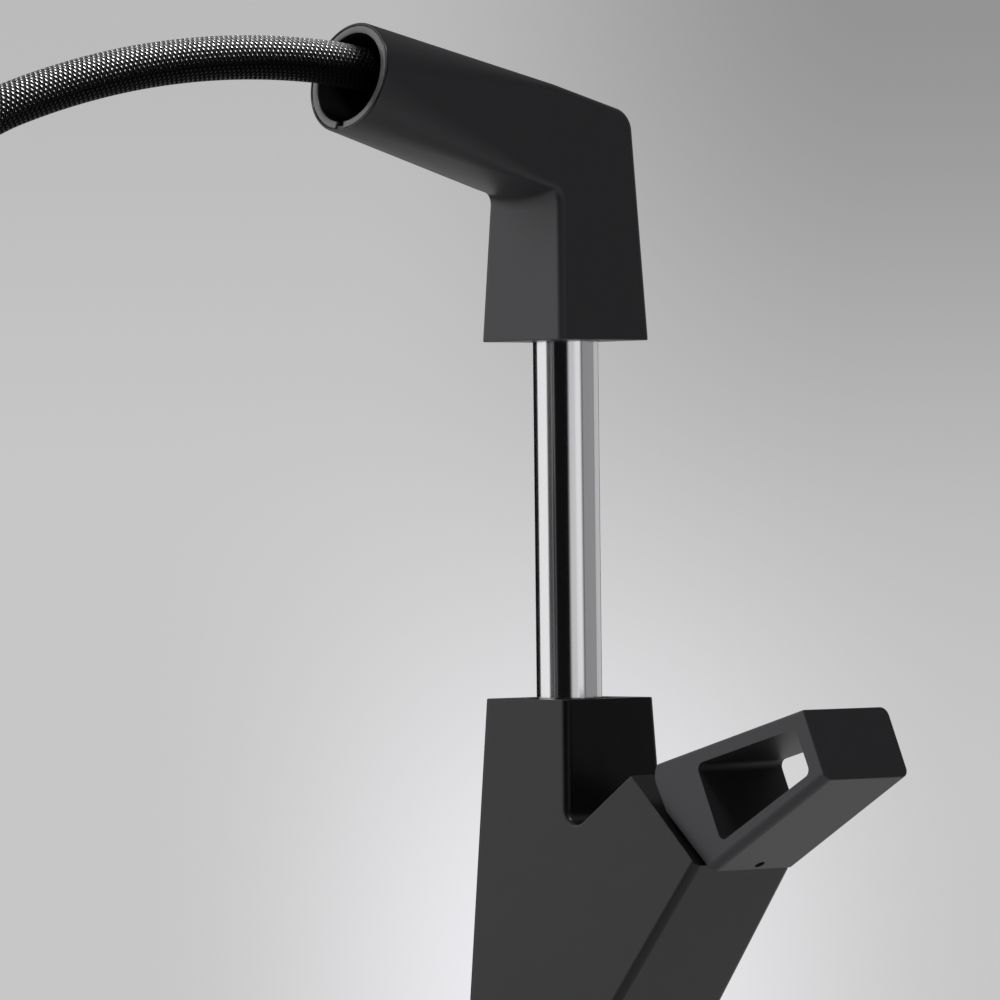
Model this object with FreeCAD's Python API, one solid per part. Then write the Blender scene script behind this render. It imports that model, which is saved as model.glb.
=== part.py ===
"""Height-adjustable single-lever kitchen mixer with a pull-out spray on a braided hose.

Millimetres.  +Z is up and z = 0 is the worktop.  The column's axis is X = Y = 0, the spout
points along -Y and the lever's branch leans out along +X.  The spout is at its raised stop,
the lever is closed and the spray hangs out of its dock.
"""
import FreeCAD
import Part
import math
import os

V = FreeCAD.Vector
X_AXIS = V(1, 0, 0)
Y_AXIS = V(0, 1, 0)
Z_AXIS = V(0, 0, 1)

# Clearances
FIT = 0.03                # radial, turned parts that run or seat in each other
SLIP = 0.1                # parts of one body that are pushed together
RUNNING_GAP = 0.3         # faces of two moving bodies

# Column and spout: one tapered square, cut where the spout lifts off the body
BASE_WIDTH = 55.0
JOINT_WIDTH = 40.5
BODY_HEIGHT = 152.0
COLUMN_EDGE_R = 2.6
CUT_EDGE_R = 0.4          # round the cut ends of the castings
LANDING_GAP = 1.2         # between body and spout when the spout is lowered

# Branch, in the plane Y = 0
BRANCH_TILT = 48.0        # its axis above the horizontal, degrees
BRANCH_REACH = 68.0       # end face centre, from the column's axis
BRANCH_RISE = 113.3       # end face centre, above the worktop
BRANCH_END_HALF = 21.4    # half the end face, along the slope
BRANCH_TOP_SLOPE = 35.0
BRANCH_UNDER_SLOPE = 51.9
UPPER_CROTCH_R = 5.0
LOWER_CROTCH_R = 9.0
BRANCH_TOP_EDGE_R = 0.6   # the column's edge runs down to this along the branch's top

# Shank and fixing below the worktop
SHANK_R = 16.5
SHANK_LENGTH = 55.0
WORKTOP_THICKNESS = 30.0
CLAMP_RUBBER_THICKNESS = 3.0
CLAMP_STEEL_THICKNESS = 2.0
CLAMP_WASHER_R = 25.0
FIXING_NUT_FLATS = 42.0
FIXING_NUT_HEIGHT = 8.0
SEAL_GROOVE_INNER_R = 20.0
SEAL_WIDTH = 2.6
SEAL_DEPTH = 1.8
HOSE_PASS_R = 7.8
HOSE_PASS_X = -6.0
PORT_R = 3.5              # core of the M8x1 sockets
PORT_DEPTH = 11.0
INLET_X = 4.4
INLET_Y = 9.3
OUTLET_X = 9.8
WATERWAY_R = 2.0
RISER_X = 17.5
RISER_Y = 11.0
OUTLET_RISER_X = 20.5
RISER_TOP = 45.0

# Stem and its guides
STEM_R = 11.0
STEM_WALL = 1.5
GUIDE_BORE_R = 14.0
FLOOR_THICKNESS = 8.0
STEM_LIFT_OFF = 0.5       # stem's foot above the floor when the spout is lowered
GUIDE_LENGTH = 5.7
COLLAR_HEIGHT = 11.0
COLLAR_SEAT = 0.4         # stem below the lower circlip
CIRCLIP_THICKNESS = 1.0
CIRCLIP_R = 12.6
CIRCLIP_BITE = 0.4
CIRCLIP_OPENING = 5.0
BRAKE_RING_HEIGHT = 3.0
BRAKE_RING_DEPTH = 1.6
GLAND_HEIGHT = 3.6
GLAND_SLOT_WIDTH = 2.0
GLAND_SLOT_DEPTH = 1.0
GLAND_SLOT_INNER_R = 12.0
WIPER_HEIGHT = 2.0
GLAND_RECESS = 0.3

# Spout
ARM_TILT = 14.4
ARM_R = 18.5
ARM_REACH = 94.6          # mouth centre in front of the column's axis
ARM_AXIS_RISE = 61.2      # where the arm's axis meets the column's, above the spout's foot
ARM_KNEE = 9.0            # from the crotch to where the square arm starts to turn round
ARM_BELLY = 3.0           # how far the arm's underside bulges over the column's width
ARM_LAST_FLAT = 0.15      # half of what is left of each flat at the mouth, degrees
SPOUT_CROTCH_R = 4.0      # under the arm
SPOUT_HEEL_R = 8.0        # over the back
ARM_BORE_R = 15.5
DOCK_BORE_R = 16.5
DOCK_DEPTH = 14.0
DOCK_RING_R = 15.1
DOCK_RING_RECESS = 0.8
KEYWAY_WIDTH = 4.0
KEYWAY_LENGTH = 8.0
SPOUT_LIP = 2.0
SPOUT_LIP_R = 11.5
SWIVEL_BUSH_R = 14.0
STEM_TOP_RISE = 21.0      # stem's top above the spout's foot
BUSH_CAP = 2.0
SPOUT_SCREW_R = 2.0
SPOUT_SCREW_RISE = 11.0
SPOUT_SCREW_RECESS = 2.0
SOCKET_DEPTH = 2.0        # of the hexagon sockets
STEM_GROOVE_DEPTH = 0.7
BACK_BORE_Y = 4.0         # where the arm's bore ends behind the column's axis

# Cartridge; h is the height over the branch's end face, along the branch's axis
SEAT_DEPTH = 15.3
SEAL_THICKNESS = 0.8
CARTRIDGE_R = 17.5
CARTRIDGE_BORE_R = 18.0
CARTRIDGE_SHOULDER_H = -4.5
CARTRIDGE_NECK_R = 13.6
CARTRIDGE_TOP_H = -0.2
CARTRIDGE_FLOOR = 2.0
DISC_CHAMBER_R = 15.4
DISC_THICKNESS = 3.5
MOVING_DISC_R = 10.0
ROTOR_R = 10.5
ROTOR_FLANGE_R = 11.8
ROTOR_FLANGE = 3.4
ROTOR_TOP_H = 9.0
ROTOR_CHAMFER = 3.0
PIVOT_H = 6.0
PIVOT_R = 1.5
SPINDLE_SIDE = 8.0
SPINDLE_TOP_H = 17.0
SPINDLE_ARM_R = 1.7
SPINDLE_BALL_R = 2.4      # on the arm's end, in the moving disc's drive hole
SPINDLE_BALL_DEPTH = 1.0  # its centre below the disc's top
SPINDLE_BALL_FLAT = 0.7   # its cut end below its centre
LEVER_LIFT = 20.0
PORT_SPREAD = 7.8
INLET_PORT_S = 4.5
OUTLET_PORT_S = -7.5
CARTRIDGE_PORT_R = 2.2
PORT_SEAL_GAP = 0.3
PORT_SEAL_WIDTH = 1.6
DISC_POCKET_WALL = 3.5
DISC_POCKET_DEPTH = 1.0
DISC_POCKET_ROOF = 0.5
PIVOT_END_INSET = 1.5     # pin's ends inside the rotor
NUT_SLOT_WIDTH = 3.0
NUT_SLOT_DEPTH = 1.5

# Lever; s runs down the slope of the branch's end face and h along the branch's axis
LEVER_GAP = 1.0
LEVER_HALF_WIDTH = 19.0
LEVER_REAR_LOW = (25.5, LEVER_GAP)
LEVER_TIP_LOW = (44.4, 59.2)
LEVER_TIP_TOP = (22.0, 69.2)
LEVER_REAR_TOP = (-16.2, 9.9)
LEVER_ROLL = (-12.0, 4.4)  # the rear's facet ends here and curves up to the rear's top
LEVER_FLAT_END = (-2.9, LEVER_GAP)
LEVER_WINDOW = [(22.4, 11.1), (37.7, 56.0), (23.3, 62.2), (-2.8, 22.2)]
WINDOW_CORNER_R = 2.5
LEVER_EDGE_R = 3.0        # its long edges
LEVER_CREST_R = 0.7       # the long edge on top, on the spout's side
LEVER_END_EDGE_R = 0.5
LEVER_POCKET_R = 12.4
LEVER_POCKET_H = 12.0
LEVER_SCREW_R = 1.75
LEVER_SCREW_LENGTH = 9.0
LEVER_SCREW_INSET = 3.2
LEVER_SCREW_DROP = 3.6    # where it meets the spindle, below the spindle's top

# Hose.  Route points are y and the rise over the arm's axis, in the plane X = 0
HOSE_R = 7.15
HOSE_FOOT_RISE = 1.5      # above the stem's foot
HOSE_ELBOW_RISE = 8.4
HOSE_ELBOW_R = 43.0
HOSE_POINTS = [
    (-70.0, 23.5), (-92.0, 28.25), (-124.0, 30.0), (-156.0, 28.8), (-188.0, 24.6),
    (-220.0, 17.1), (-250.0, 7.0), (-275.2, -11.2), (-292.0, -35.0), (-300.0, -62.8),
    (-300.0, -86.4),
]
HOSE_ARC_SHARE = 0.45

# Spray; its axis is vertical and d is the distance below the hose's end
NUT_LENGTH = 18.0
NUT_TOP_R = 8.6
NUT_R = 11.6
NUT_THREAD_R = 8.5
NUT_THREAD_LENGTH = 10.0
NUT_ROOF = 2.0            # between the hose's end and the nut's waterway
SPIGOT_R = 14.9
SPIGOT_LENGTH = 13.0
SPIGOT_BORE_R = 12.4
SHELL_R = 18.4
SHELL_LENGTH = 76.0
SHELL_WALL = 2.2
SHELL_EDGE_R = 2.0
KEY_WIDTH = 3.6
KEY_HEIGHT = 1.0
KEY_LENGTH = 7.0
OUTLET_RISE = 20.0        # outlet's axis above the spray's tip
OUTLET_BOSS_R = 15.2
OUTLET_BOSS_OUT = 21.6
OUTLET_BORE_R = 13.4
SPRAY_FACE_THICKNESS = 2.4
SPRAY_FACE_RECESS = 0.6
AERATOR_R = 6.0
AERATOR_RECESS = 0.4
AERATOR_WALL = 1.2
AERATOR_PITCH = 2.0
AERATOR_HOLE = 1.2
OUTLET_CHAMBER = 4.0
NOZZLE_R = 0.8
NOZZLE_COUNT = 18
NOZZLE_RING_R = 9.8
NOZZLE_OUT = 0.9
CORE_WATERWAY_R = 4.6
VALVE_R = 6.2
VALVE_LENGTH = 8.0
VALVE_WALL = 3.6
BUTTON_RISE = 44.0        # button's centre above the spray's tip
BUTTON_WIDTH = 11.0
BUTTON_LENGTH = 20.0
BUTTON_PROUD = 3.0
BUTTON_TRAVEL = 2.2
BUTTON_PLATE = 3.4
BUTTON_EDGE_R = 0.8
PLUNGER_R = 2.5
PLUNGER_LENGTH = 9.0
SPRING_R = 4.4
SPRING_WIRE_R = 0.45
SPRING_WELL_DEPTH = 2.5
SPRING_TURNS = 3.0

# Worked out from the sizes above
TAPER = (BASE_WIDTH - JOINT_WIDTH) / BODY_HEIGHT
GLAND_TOP = BODY_HEIGHT - GLAND_RECESS
GUIDE_TOP = GLAND_TOP - GLAND_HEIGHT - WIPER_HEIGHT
GUIDE_FOOT = GUIDE_TOP - GUIDE_LENGTH
COLLAR_FOOT = GUIDE_FOOT - RUNNING_GAP - CIRCLIP_THICKNESS - 2 * SLIP - COLLAR_HEIGHT
STEM_FOOT = COLLAR_FOOT - CIRCLIP_THICKNESS - COLLAR_SEAT
LIFT_STROKE = STEM_FOOT - FLOOR_THICKNESS - STEM_LIFT_OFF
SPOUT_FOOT = BODY_HEIGHT + LIFT_STROKE + LANDING_GAP
STEM_TOP = SPOUT_FOOT + STEM_TOP_RISE
ARM_AXIS_Z = SPOUT_FOOT + ARM_AXIS_RISE
ARM_SLOPE = math.tan(math.radians(ARM_TILT))
ARM_DIRECTION = V(0, -math.cos(math.radians(ARM_TILT)), math.sin(math.radians(ARM_TILT)))
ARM_UP = V(0, math.sin(math.radians(ARM_TILT)), math.cos(math.radians(ARM_TILT)))
MOUTH = V(0, -ARM_REACH, ARM_AXIS_Z + ARM_REACH * ARM_SLOPE)
BRANCH_PLACE = FreeCAD.Placement(
    V(BRANCH_REACH, 0, BRANCH_RISE), FreeCAD.Rotation(Y_AXIS, 90.0 - BRANCH_TILT))
HOSE_ROUTE = [(y, ARM_AXIS_Z + rise) for y, rise in HOSE_POINTS]
SPRAY_Y, SPRAY_TOP = HOSE_ROUTE[-1]
SPRAY_SHOULDER = SPRAY_TOP - NUT_LENGTH - SPIGOT_LENGTH
SPRAY_TIP = SPRAY_SHOULDER - SHELL_LENGTH
OUTLET_Z = SPRAY_TIP + OUTLET_RISE
BUTTON_Z = SPRAY_TIP + BUTTON_RISE
CORE_R = SHELL_R - SHELL_WALL - SLIP


# Helpers

def rod(radius, foot, top, x=0.0, y=0.0):
    """A vertical cylinder from z = foot to z = top."""
    return Part.makeCylinder(radius, top - foot, V(x, y, foot))


def ring(inner, outer, foot, top, x=0.0, y=0.0):
    """A vertical tube from z = foot to z = top."""
    return rod(outer, foot, top, x, y).cut(rod(inner, foot - 1, top + 1, x, y))


def block(x0, x1, y0, y1, z0, z1):
    """A box between two corners."""
    return Part.makeBox(x1 - x0, y1 - y0, z1 - z0, V(x0, y0, z0))


def cone(foot_r, top_r, foot, top, x=0.0, y=0.0):
    """A vertical cone frustum."""
    return Part.makeCone(foot_r, top_r, top - foot, V(x, y, foot))


def hexagon(flats, foot, top):
    """A hexagonal prism about the Z axis."""
    corner = flats / math.sqrt(3.0)
    points = [V(corner * math.cos(math.radians(a)), corner * math.sin(math.radians(a)), foot)
              for a in range(0, 361, 60)]
    return Part.Face(Part.makePolygon(points)).extrude(V(0, 0, top - foot))


def on_branch(shape):
    """Moves a shape made about Z, with z = h and x = s, onto the branch's end face."""
    placed = shape.copy()
    placed.Placement = BRANCH_PLACE.multiply(placed.Placement)
    return placed


def branch_point(s, h, y=0.0):
    """The point of the model that lies at s, h and y on the branch."""
    return BRANCH_PLACE.multVec(V(s, y, h))


def rounded_outline(corners, to_point):
    """A closed wire through (u, v, radius) corners, rounded where the radius isn't 0."""
    points = [V(u, v, 0) for u, v, _ in corners]
    starts, ends, mids = [], [], []
    for i, (u, v, radius) in enumerate(corners):
        here = points[i]
        back = (points[i - 1] - here).normalize()
        ahead = (points[(i + 1) % len(points)] - here).normalize()
        if radius == 0:
            starts.append(here)
            ends.append(here)
            mids.append(None)
            continue
        half = back.getAngle(ahead) / 2
        cut = radius / math.tan(half)
        middle = (back + ahead).normalize()
        starts.append(here + back * cut)
        ends.append(here + ahead * cut)
        mids.append(here + middle * (radius / math.sin(half) - radius))
    edges = []
    for i in range(len(corners)):
        if mids[i] is not None:
            arc = Part.Arc(to_point(starts[i]), to_point(mids[i]), to_point(ends[i]))
            edges.append(arc.toShape())
        following = starts[(i + 1) % len(corners)]
        if (following - ends[i]).Length > 1e-6:
            edges.append(Part.makeLine(to_point(ends[i]), to_point(following)))
    return Part.Wire(edges)


def side_prism(corners, half_depth):
    """An outline in the XZ plane, extruded along Y to both sides."""
    wire = rounded_outline(corners, lambda p: V(p.x, -half_depth, p.y))
    return Part.Face(wire).extrude(V(0, 2 * half_depth, 0))


def front_prism(corners, x0, x1):
    """An outline in the YZ plane, extruded along X."""
    wire = rounded_outline(corners, lambda p: V(x0, p.x, p.y))
    return Part.Face(wire).extrude(V(x1 - x0, 0, 0))


def edges_near(shape, test):
    """The edges whose middle and ends all pass a test."""
    found = []
    for edge in shape.Edges:
        first, last = edge.ParameterRange
        if all(test(edge.valueAt(first + (last - first) * t)) for t in (0.0, 0.5, 1.0)):
            found.append(edge)
    return found


def round_edges(shape, radii):
    """Rounds edges with a radius that may change along each: (edge, first, last) entries."""
    numbered = []
    for i, edge in enumerate(shape.Edges):
        for chosen, first, last in radii:
            if edge.isSame(chosen):
                numbered.append((i + 1, first, last))
    document = FreeCAD.newDocument("rounding")
    base = document.addObject("Part::Feature", "base")
    base.Shape = shape
    rounded = document.addObject("Part::Fillet", "rounded")
    rounded.Base = base
    rounded.Edges = numbered
    document.recompute()
    result = rounded.Shape.copy()
    FreeCAD.closeDocument(document.Name)
    return result


def crossing(p, slope_p, q, slope_q):
    """Where two lines of the plane meet, each given by a point and its angle in radians."""
    ax, ay = math.cos(slope_p), math.sin(slope_p)
    bx, by = math.cos(slope_q), math.sin(slope_q)
    t = ((q[0] - p[0]) * by - (q[1] - p[1]) * bx) / (ax * by - ay * bx)
    return p[0] + ax * t, p[1] + ay * t


def waterway(points, radius):
    """A drilled passage through several points."""
    way = Part.makeSphere(radius, points[0])
    for start, end in zip(points, points[1:]):
        way = way.fuse(Part.makeCylinder(radius, (end - start).Length, start, end - start))
        way = way.fuse(Part.makeSphere(radius, end))
    return way


# Body

def column_half(z):
    """Half the column's width at a height."""
    return (BASE_WIDTH - TAPER * z) / 2


def body_casting():
    """The column with its leaning branch, from one outline and one tapered slab."""
    lean = math.pi / 2 + math.atan(TAPER / 2)
    foot = (column_half(0), 0.0)
    end_top = branch_point(-BRANCH_END_HALF, 0)
    end_low = branch_point(BRANCH_END_HALF, 0)
    under = crossing(foot, lean, (end_low.x, end_low.z), math.radians(BRANCH_UNDER_SLOPE))
    over = crossing(foot, lean, (end_top.x, end_top.z), math.radians(BRANCH_TOP_SLOPE))
    top = column_half(BODY_HEIGHT)
    outline = [
        (-foot[0], 0, 0), (foot[0], 0, 0), (under[0], under[1], LOWER_CROTCH_R),
        (end_low.x, end_low.z, 0), (end_top.x, end_top.z, 0),
        (over[0], over[1], UPPER_CROTCH_R), (top, BODY_HEIGHT, 0), (-top, BODY_HEIGHT, 0),
    ]
    slab = [(-foot[0], 0, 0), (foot[0], 0, 0), (top, BODY_HEIGHT, 0), (-top, BODY_HEIGHT, 0)]
    body = side_prism(outline, BASE_WIDTH).common(
        front_prism(slab, -BASE_WIDTH, 3 * BASE_WIDTH))

    axis = branch_point(0, 1) - branch_point(0, 0)

    def level(p, z):
        return abs(p.z - z) < 0.01

    def on_cut(p):
        return abs((p - branch_point(0, 0)).dot(axis)) < 0.01

    radii = []
    for edge in body.Edges:
        ends = [edge.valueAt(t) for t in edge.ParameterRange]
        on_side = all(abs(abs(p.y) - column_half(p.z)) < 0.01 for p in ends)
        on_end = any(all(test(p) for p in ends) for test in (
            lambda p: level(p, 0), lambda p: level(p, BODY_HEIGHT), on_cut))
        if not on_side or on_end:
            continue
        low = min(p.z for p in ends)
        over_branch = low > over[1] and min(p.x for p in ends) > 0
        straight = edge.Curve.TypeId == "Part::GeomLine"
        if over_branch and not straight:
            column_first = ends[0].x < ends[1].x
            first, last = COLUMN_EDGE_R, BRANCH_TOP_EDGE_R
            radii.append((edge, first, last) if column_first else (edge, last, first))
        elif over_branch and max(p.x for p in ends) > end_top.x - 0.01:
            radii.append((edge, BRANCH_TOP_EDGE_R, BRANCH_TOP_EDGE_R))
        else:
            radii.append((edge, COLUMN_EDGE_R, COLUMN_EDGE_R))
    body = round_edges(body, radii)
    ends = edges_near(body, lambda p: level(p, BODY_HEIGHT)) + edges_near(body, on_cut)
    return body.makeFillet(CUT_EDGE_R, ends)


def mixer_body():
    """The casting with its shank, bores, sockets and waterways."""
    body = body_casting()
    body = body.fuse(rod(SHANK_R, -SHANK_LENGTH, FLOOR_THICKNESS / 2))
    body = body.cut(rod(GUIDE_BORE_R, FLOOR_THICKNESS, BODY_HEIGHT + 1))
    body = body.cut(rod(HOSE_PASS_R, -SHANK_LENGTH - 1, FLOOR_THICKNESS + 1, HOSE_PASS_X))
    body = body.cut(ring(SEAL_GROOVE_INNER_R, SEAL_GROOVE_INNER_R + SEAL_WIDTH, -1, SEAL_DEPTH))
    body = body.cut(on_branch(rod(CARTRIDGE_BORE_R, -SEAT_DEPTH, 5)))
    floor = FLOOR_THICKNESS / 2
    for side in (-1, 1):
        x, y = INLET_X, side * INLET_Y
        body = body.cut(rod(PORT_R, -SHANK_LENGTH - 1, PORT_DEPTH - SHANK_LENGTH, x, y))
        body = body.cut(waterway([
            V(x, y, PORT_DEPTH - SHANK_LENGTH), V(x, y, floor),
            V(RISER_X, side * RISER_Y, floor), V(RISER_X, side * RISER_Y, RISER_TOP),
            branch_point(INLET_PORT_S, -SEAT_DEPTH, side * PORT_SPREAD)], WATERWAY_R))
    body = body.cut(rod(PORT_R, -SHANK_LENGTH - 1, PORT_DEPTH - SHANK_LENGTH, OUTLET_X))
    body = body.cut(waterway([
        V(OUTLET_X, 0, PORT_DEPTH - SHANK_LENGTH), V(OUTLET_X, 0, floor),
        V(OUTLET_RISER_X, 0, floor), V(OUTLET_RISER_X, 0, RISER_TOP),
        branch_point(OUTLET_PORT_S, -SEAT_DEPTH)], WATERWAY_R))
    return body


def base_seal():
    """The rubber ring that lies flush in the groove under the body."""
    return ring(SEAL_GROOVE_INNER_R + SLIP, SEAL_GROOVE_INNER_R + SEAL_WIDTH - SLIP,
                0, SEAL_DEPTH - SLIP)


def clamp_rubber_washer():
    top = -WORKTOP_THICKNESS
    return ring(SHANK_R + SLIP, CLAMP_WASHER_R, top - CLAMP_RUBBER_THICKNESS, top)


def clamp_steel_washer():
    top = -WORKTOP_THICKNESS - CLAMP_RUBBER_THICKNESS
    return ring(SHANK_R + SLIP, CLAMP_WASHER_R, top - CLAMP_STEEL_THICKNESS, top)


def fixing_nut():
    top = -WORKTOP_THICKNESS - CLAMP_RUBBER_THICKNESS - CLAMP_STEEL_THICKNESS
    nut = hexagon(FIXING_NUT_FLATS, top - FIXING_NUT_HEIGHT, top)
    return nut.cut(rod(SHANK_R + FIT, top - FIXING_NUT_HEIGHT - 1, top + 1))


# Guides in the body, and the stem

def guide_bush():
    return ring(STEM_R + FIT, GUIDE_BORE_R - FIT, GUIDE_FOOT, GUIDE_TOP)


def wiper_ring():
    return ring(STEM_R + FIT, GUIDE_BORE_R - FIT, GUIDE_TOP, GUIDE_TOP + WIPER_HEIGHT)


def gland_ring():
    """The threaded ring that holds the bush and the wiper, with two spanner slots."""
    foot = GUIDE_TOP + WIPER_HEIGHT
    gland = ring(STEM_R + RUNNING_GAP, GUIDE_BORE_R - FIT, foot, GLAND_TOP)
    slot = block(-GUIDE_BORE_R, GUIDE_BORE_R, -GLAND_SLOT_WIDTH / 2, GLAND_SLOT_WIDTH / 2,
                 GLAND_TOP - GLAND_SLOT_DEPTH, GLAND_TOP + 1)
    return gland.cut(slot.cut(rod(GLAND_SLOT_INNER_R, foot, GLAND_TOP + 1)))


def clip_heights():
    """The feet of the two circlips, under and over the slide collar."""
    return STEM_FOOT + COLLAR_SEAT, COLLAR_FOOT + COLLAR_HEIGHT + SLIP


def stem_tube():
    """The polished tube, with grooves for its circlips and for the spout's screw."""
    stem = ring(STEM_R - STEM_WALL, STEM_R, STEM_FOOT, STEM_TOP)
    for foot in clip_heights():
        stem = stem.cut(ring(STEM_R - CIRCLIP_BITE, STEM_R + 1, foot, foot + CIRCLIP_THICKNESS))
    screw_z = SPOUT_FOOT + SPOUT_SCREW_RISE
    reach = SPOUT_SCREW_R + RUNNING_GAP
    return stem.cut(ring(STEM_R - STEM_GROOVE_DEPTH, STEM_R + 1, screw_z - reach, screw_z + reach))


def slide_collar():
    """The plastic foot that guides the stem in the body's bore, grooved for the brake ring."""
    collar = ring(STEM_R + FIT, GUIDE_BORE_R - FIT, COLLAR_FOOT, COLLAR_FOOT + COLLAR_HEIGHT)
    foot = COLLAR_FOOT + (COLLAR_HEIGHT - BRAKE_RING_HEIGHT) / 2
    return collar.cut(ring(GUIDE_BORE_R - BRAKE_RING_DEPTH, GUIDE_BORE_R + 1,
                           foot, foot + BRAKE_RING_HEIGHT))


def brake_ring():
    """The rubber ring that holds the spout at any height."""
    foot = COLLAR_FOOT + (COLLAR_HEIGHT - BRAKE_RING_HEIGHT) / 2
    return ring(GUIDE_BORE_R - BRAKE_RING_DEPTH + FIT, GUIDE_BORE_R - FIT / 2,
                foot + SLIP, foot + BRAKE_RING_HEIGHT - SLIP)


def stem_circlips():
    """The two open rings that hold the collar on the stem."""
    clips = []
    for foot in clip_heights():
        clip = ring(STEM_R - CIRCLIP_BITE + FIT, CIRCLIP_R, foot + FIT,
                    foot + CIRCLIP_THICKNESS - FIT)
        clips.append(clip.cut(block(0, CIRCLIP_R + 1, -CIRCLIP_OPENING / 2, CIRCLIP_OPENING / 2,
                                    foot - 1, foot + CIRCLIP_THICKNESS + 1)))
    return Part.makeCompound(clips)


# Spout

def spout_half(z):
    """Half the spout's width at a height; it carries on from the body's top."""
    return (JOINT_WIDTH - TAPER * (z - SPOUT_FOOT)) / 2


def spout_corners():
    """The (y, z) corners of the crotch under the arm and of the heel over the back."""
    lean = math.atan(TAPER / 2)
    slope = math.pi - math.radians(ARM_TILT)
    lift = ARM_R / math.cos(math.radians(ARM_TILT))
    foot = spout_half(SPOUT_FOOT)
    crotch = crossing((-foot, SPOUT_FOOT), math.pi / 2 - lean, (0, ARM_AXIS_Z - lift), slope)
    heel = crossing((foot, SPOUT_FOOT), math.pi / 2 + lean, (0, ARM_AXIS_Z + lift), slope)
    return crotch, heel


def belly_radius():
    """The radius of the arm's underside over the column's front."""
    crotch, _ = spout_corners()
    half = spout_half(crotch[1])
    return (half ** 2 + ARM_BELLY ** 2) / (2 * ARM_BELLY)


def knee_low():
    """The lowest point of the section in which the arm starts to turn round."""
    crotch, _ = spout_corners()
    return V(0, crotch[0], crotch[1]) + ARM_DIRECTION * ARM_KNEE


def spout_root():
    """The square column and the start of the arm, with all their rounded edges."""
    crotch, heel = spout_corners()
    low = knee_low()
    high = low + ARM_UP * (2 * ARM_R)
    foot = spout_half(SPOUT_FOOT)
    top = spout_half(high.z)
    outline = [(-foot, SPOUT_FOOT, 0), (foot, SPOUT_FOOT, 0), (heel[0], heel[1], SPOUT_HEEL_R),
               (high.y, high.z, 0), (low.y, low.z, 0), (crotch[0], crotch[1], 0)]
    slab = [(-foot, SPOUT_FOOT, 0), (foot, SPOUT_FOOT, 0), (top, high.z, 0), (-top, high.z, 0)]
    root = front_prism(outline, -BASE_WIDTH, BASE_WIDTH).common(side_prism(slab, 2 * BASE_WIDTH))
    under, over = crotch[1] - ARM_BELLY, crotch[1] + 2 * ARM_R
    ahead = front_prism([(-spout_half(under), under, 0), (-spout_half(over), over, 0),
                         (-2 * BASE_WIDTH, over, 0), (-2 * BASE_WIDTH, under, 0)],
                        -BASE_WIDTH, BASE_WIDTH)
    belly_axis = low + ARM_UP * belly_radius()
    belly = Part.makeCylinder(belly_radius(), 4 * BASE_WIDTH,
                              belly_axis - ARM_DIRECTION * (2 * BASE_WIDTH), ARM_DIRECTION)
    root = root.cut(ahead.cut(belly)).removeSplitter()

    def on_crease(p):
        return abs(p.y + spout_half(p.z)) < 0.01 and (
            abs(V(p.x, 0, (p - belly_axis).dot(ARM_UP)).Length - belly_radius()) < 0.01)

    def on_side(p):
        return abs(abs(p.x) - spout_half(p.z)) < 0.01

    def on_foot(p):
        return abs(p.z - SPOUT_FOOT) < 0.01

    root = root.makeFillet(SPOUT_CROTCH_R, edges_near(root, on_crease))
    ends = edges_near(root, on_foot) + edges_near(root, on_knee)
    sides = [edge for edge in edges_near(root, on_side)
             if not any(edge.isSame(end) for end in ends)]
    root = root.makeFillet(COLUMN_EDGE_R, sides)
    return root.makeFillet(CUT_EDGE_R, edges_near(root, on_foot))


def on_knee(p):
    """Whether a point lies in the section in which the arm starts to turn round."""
    return abs((p - knee_low()).dot(ARM_DIRECTION)) < 0.01


def knee_wire(root):
    """The outline of the root's end, towards the mouth."""
    for face in root.Faces:
        if all(on_knee(vertex.Point) for vertex in face.Vertexes):
            return face.OuterWire
    raise RuntimeError("the root has no end face")


def mouth_wire(knee):
    """The mouth's circle in arcs that turn as far as the knee's edges do."""
    angles = []
    for vertex in knee.OrderedVertexes:
        p = vertex.Point
        height = (p - knee_low()).dot(ARM_UP)
        if height > 2 * ARM_R - COLUMN_EDGE_R / 2:
            angle = math.pi / 2 - math.copysign(math.radians(ARM_LAST_FLAT), p.x)
        elif height > ARM_BELLY and abs(p.x) > ARM_R / 2:
            turn = math.copysign(math.radians(ARM_LAST_FLAT), height - ARM_R)
            angle = turn if p.x > 0 else math.pi - turn
        else:
            angle = math.asin(p.x / belly_radius()) - math.pi / 2
        angles.append(angle)

    def at(angle):
        return MOUTH + X_AXIS * (ARM_R * math.cos(angle)) + ARM_UP * (ARM_R * math.sin(angle))

    edges = []
    for i, start in enumerate(angles):
        end = angles[(i + 1) % len(angles)]
        turn = (end - start + math.pi) % (2 * math.pi) - math.pi
        edges.append(Part.Arc(at(start), at(start + turn / 2), at(start + turn)).toShape())
    return Part.Wire(edges)


def spout_elbow():
    """Root, arm and mouth in one hollow casting."""
    root = spout_root()
    knee = knee_wire(root)
    elbow = root.fuse(Part.makeLoft([knee, mouth_wire(knee)], True, True))
    back = V(0, BACK_BORE_Y, ARM_AXIS_Z - BACK_BORE_Y * ARM_SLOPE)
    bore = Part.makeCylinder(ARM_BORE_R, (MOUTH - back).Length + 1, back, ARM_DIRECTION)
    dock = Part.makeCylinder(DOCK_BORE_R, DOCK_DEPTH + 1, MOUTH - ARM_DIRECTION * DOCK_DEPTH,
                             ARM_DIRECTION)
    elbow = elbow.cut(bore).cut(dock)
    elbow = elbow.cut(rod(SWIVEL_BUSH_R, SPOUT_FOOT + SPOUT_LIP, ARM_AXIS_Z))
    elbow = elbow.cut(rod(SPOUT_LIP_R, SPOUT_FOOT - 1, SPOUT_FOOT + SPOUT_LIP + 1))
    return elbow.cut(spout_screw_bore(SPOUT_SCREW_R, 2 * JOINT_WIDTH))


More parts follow.
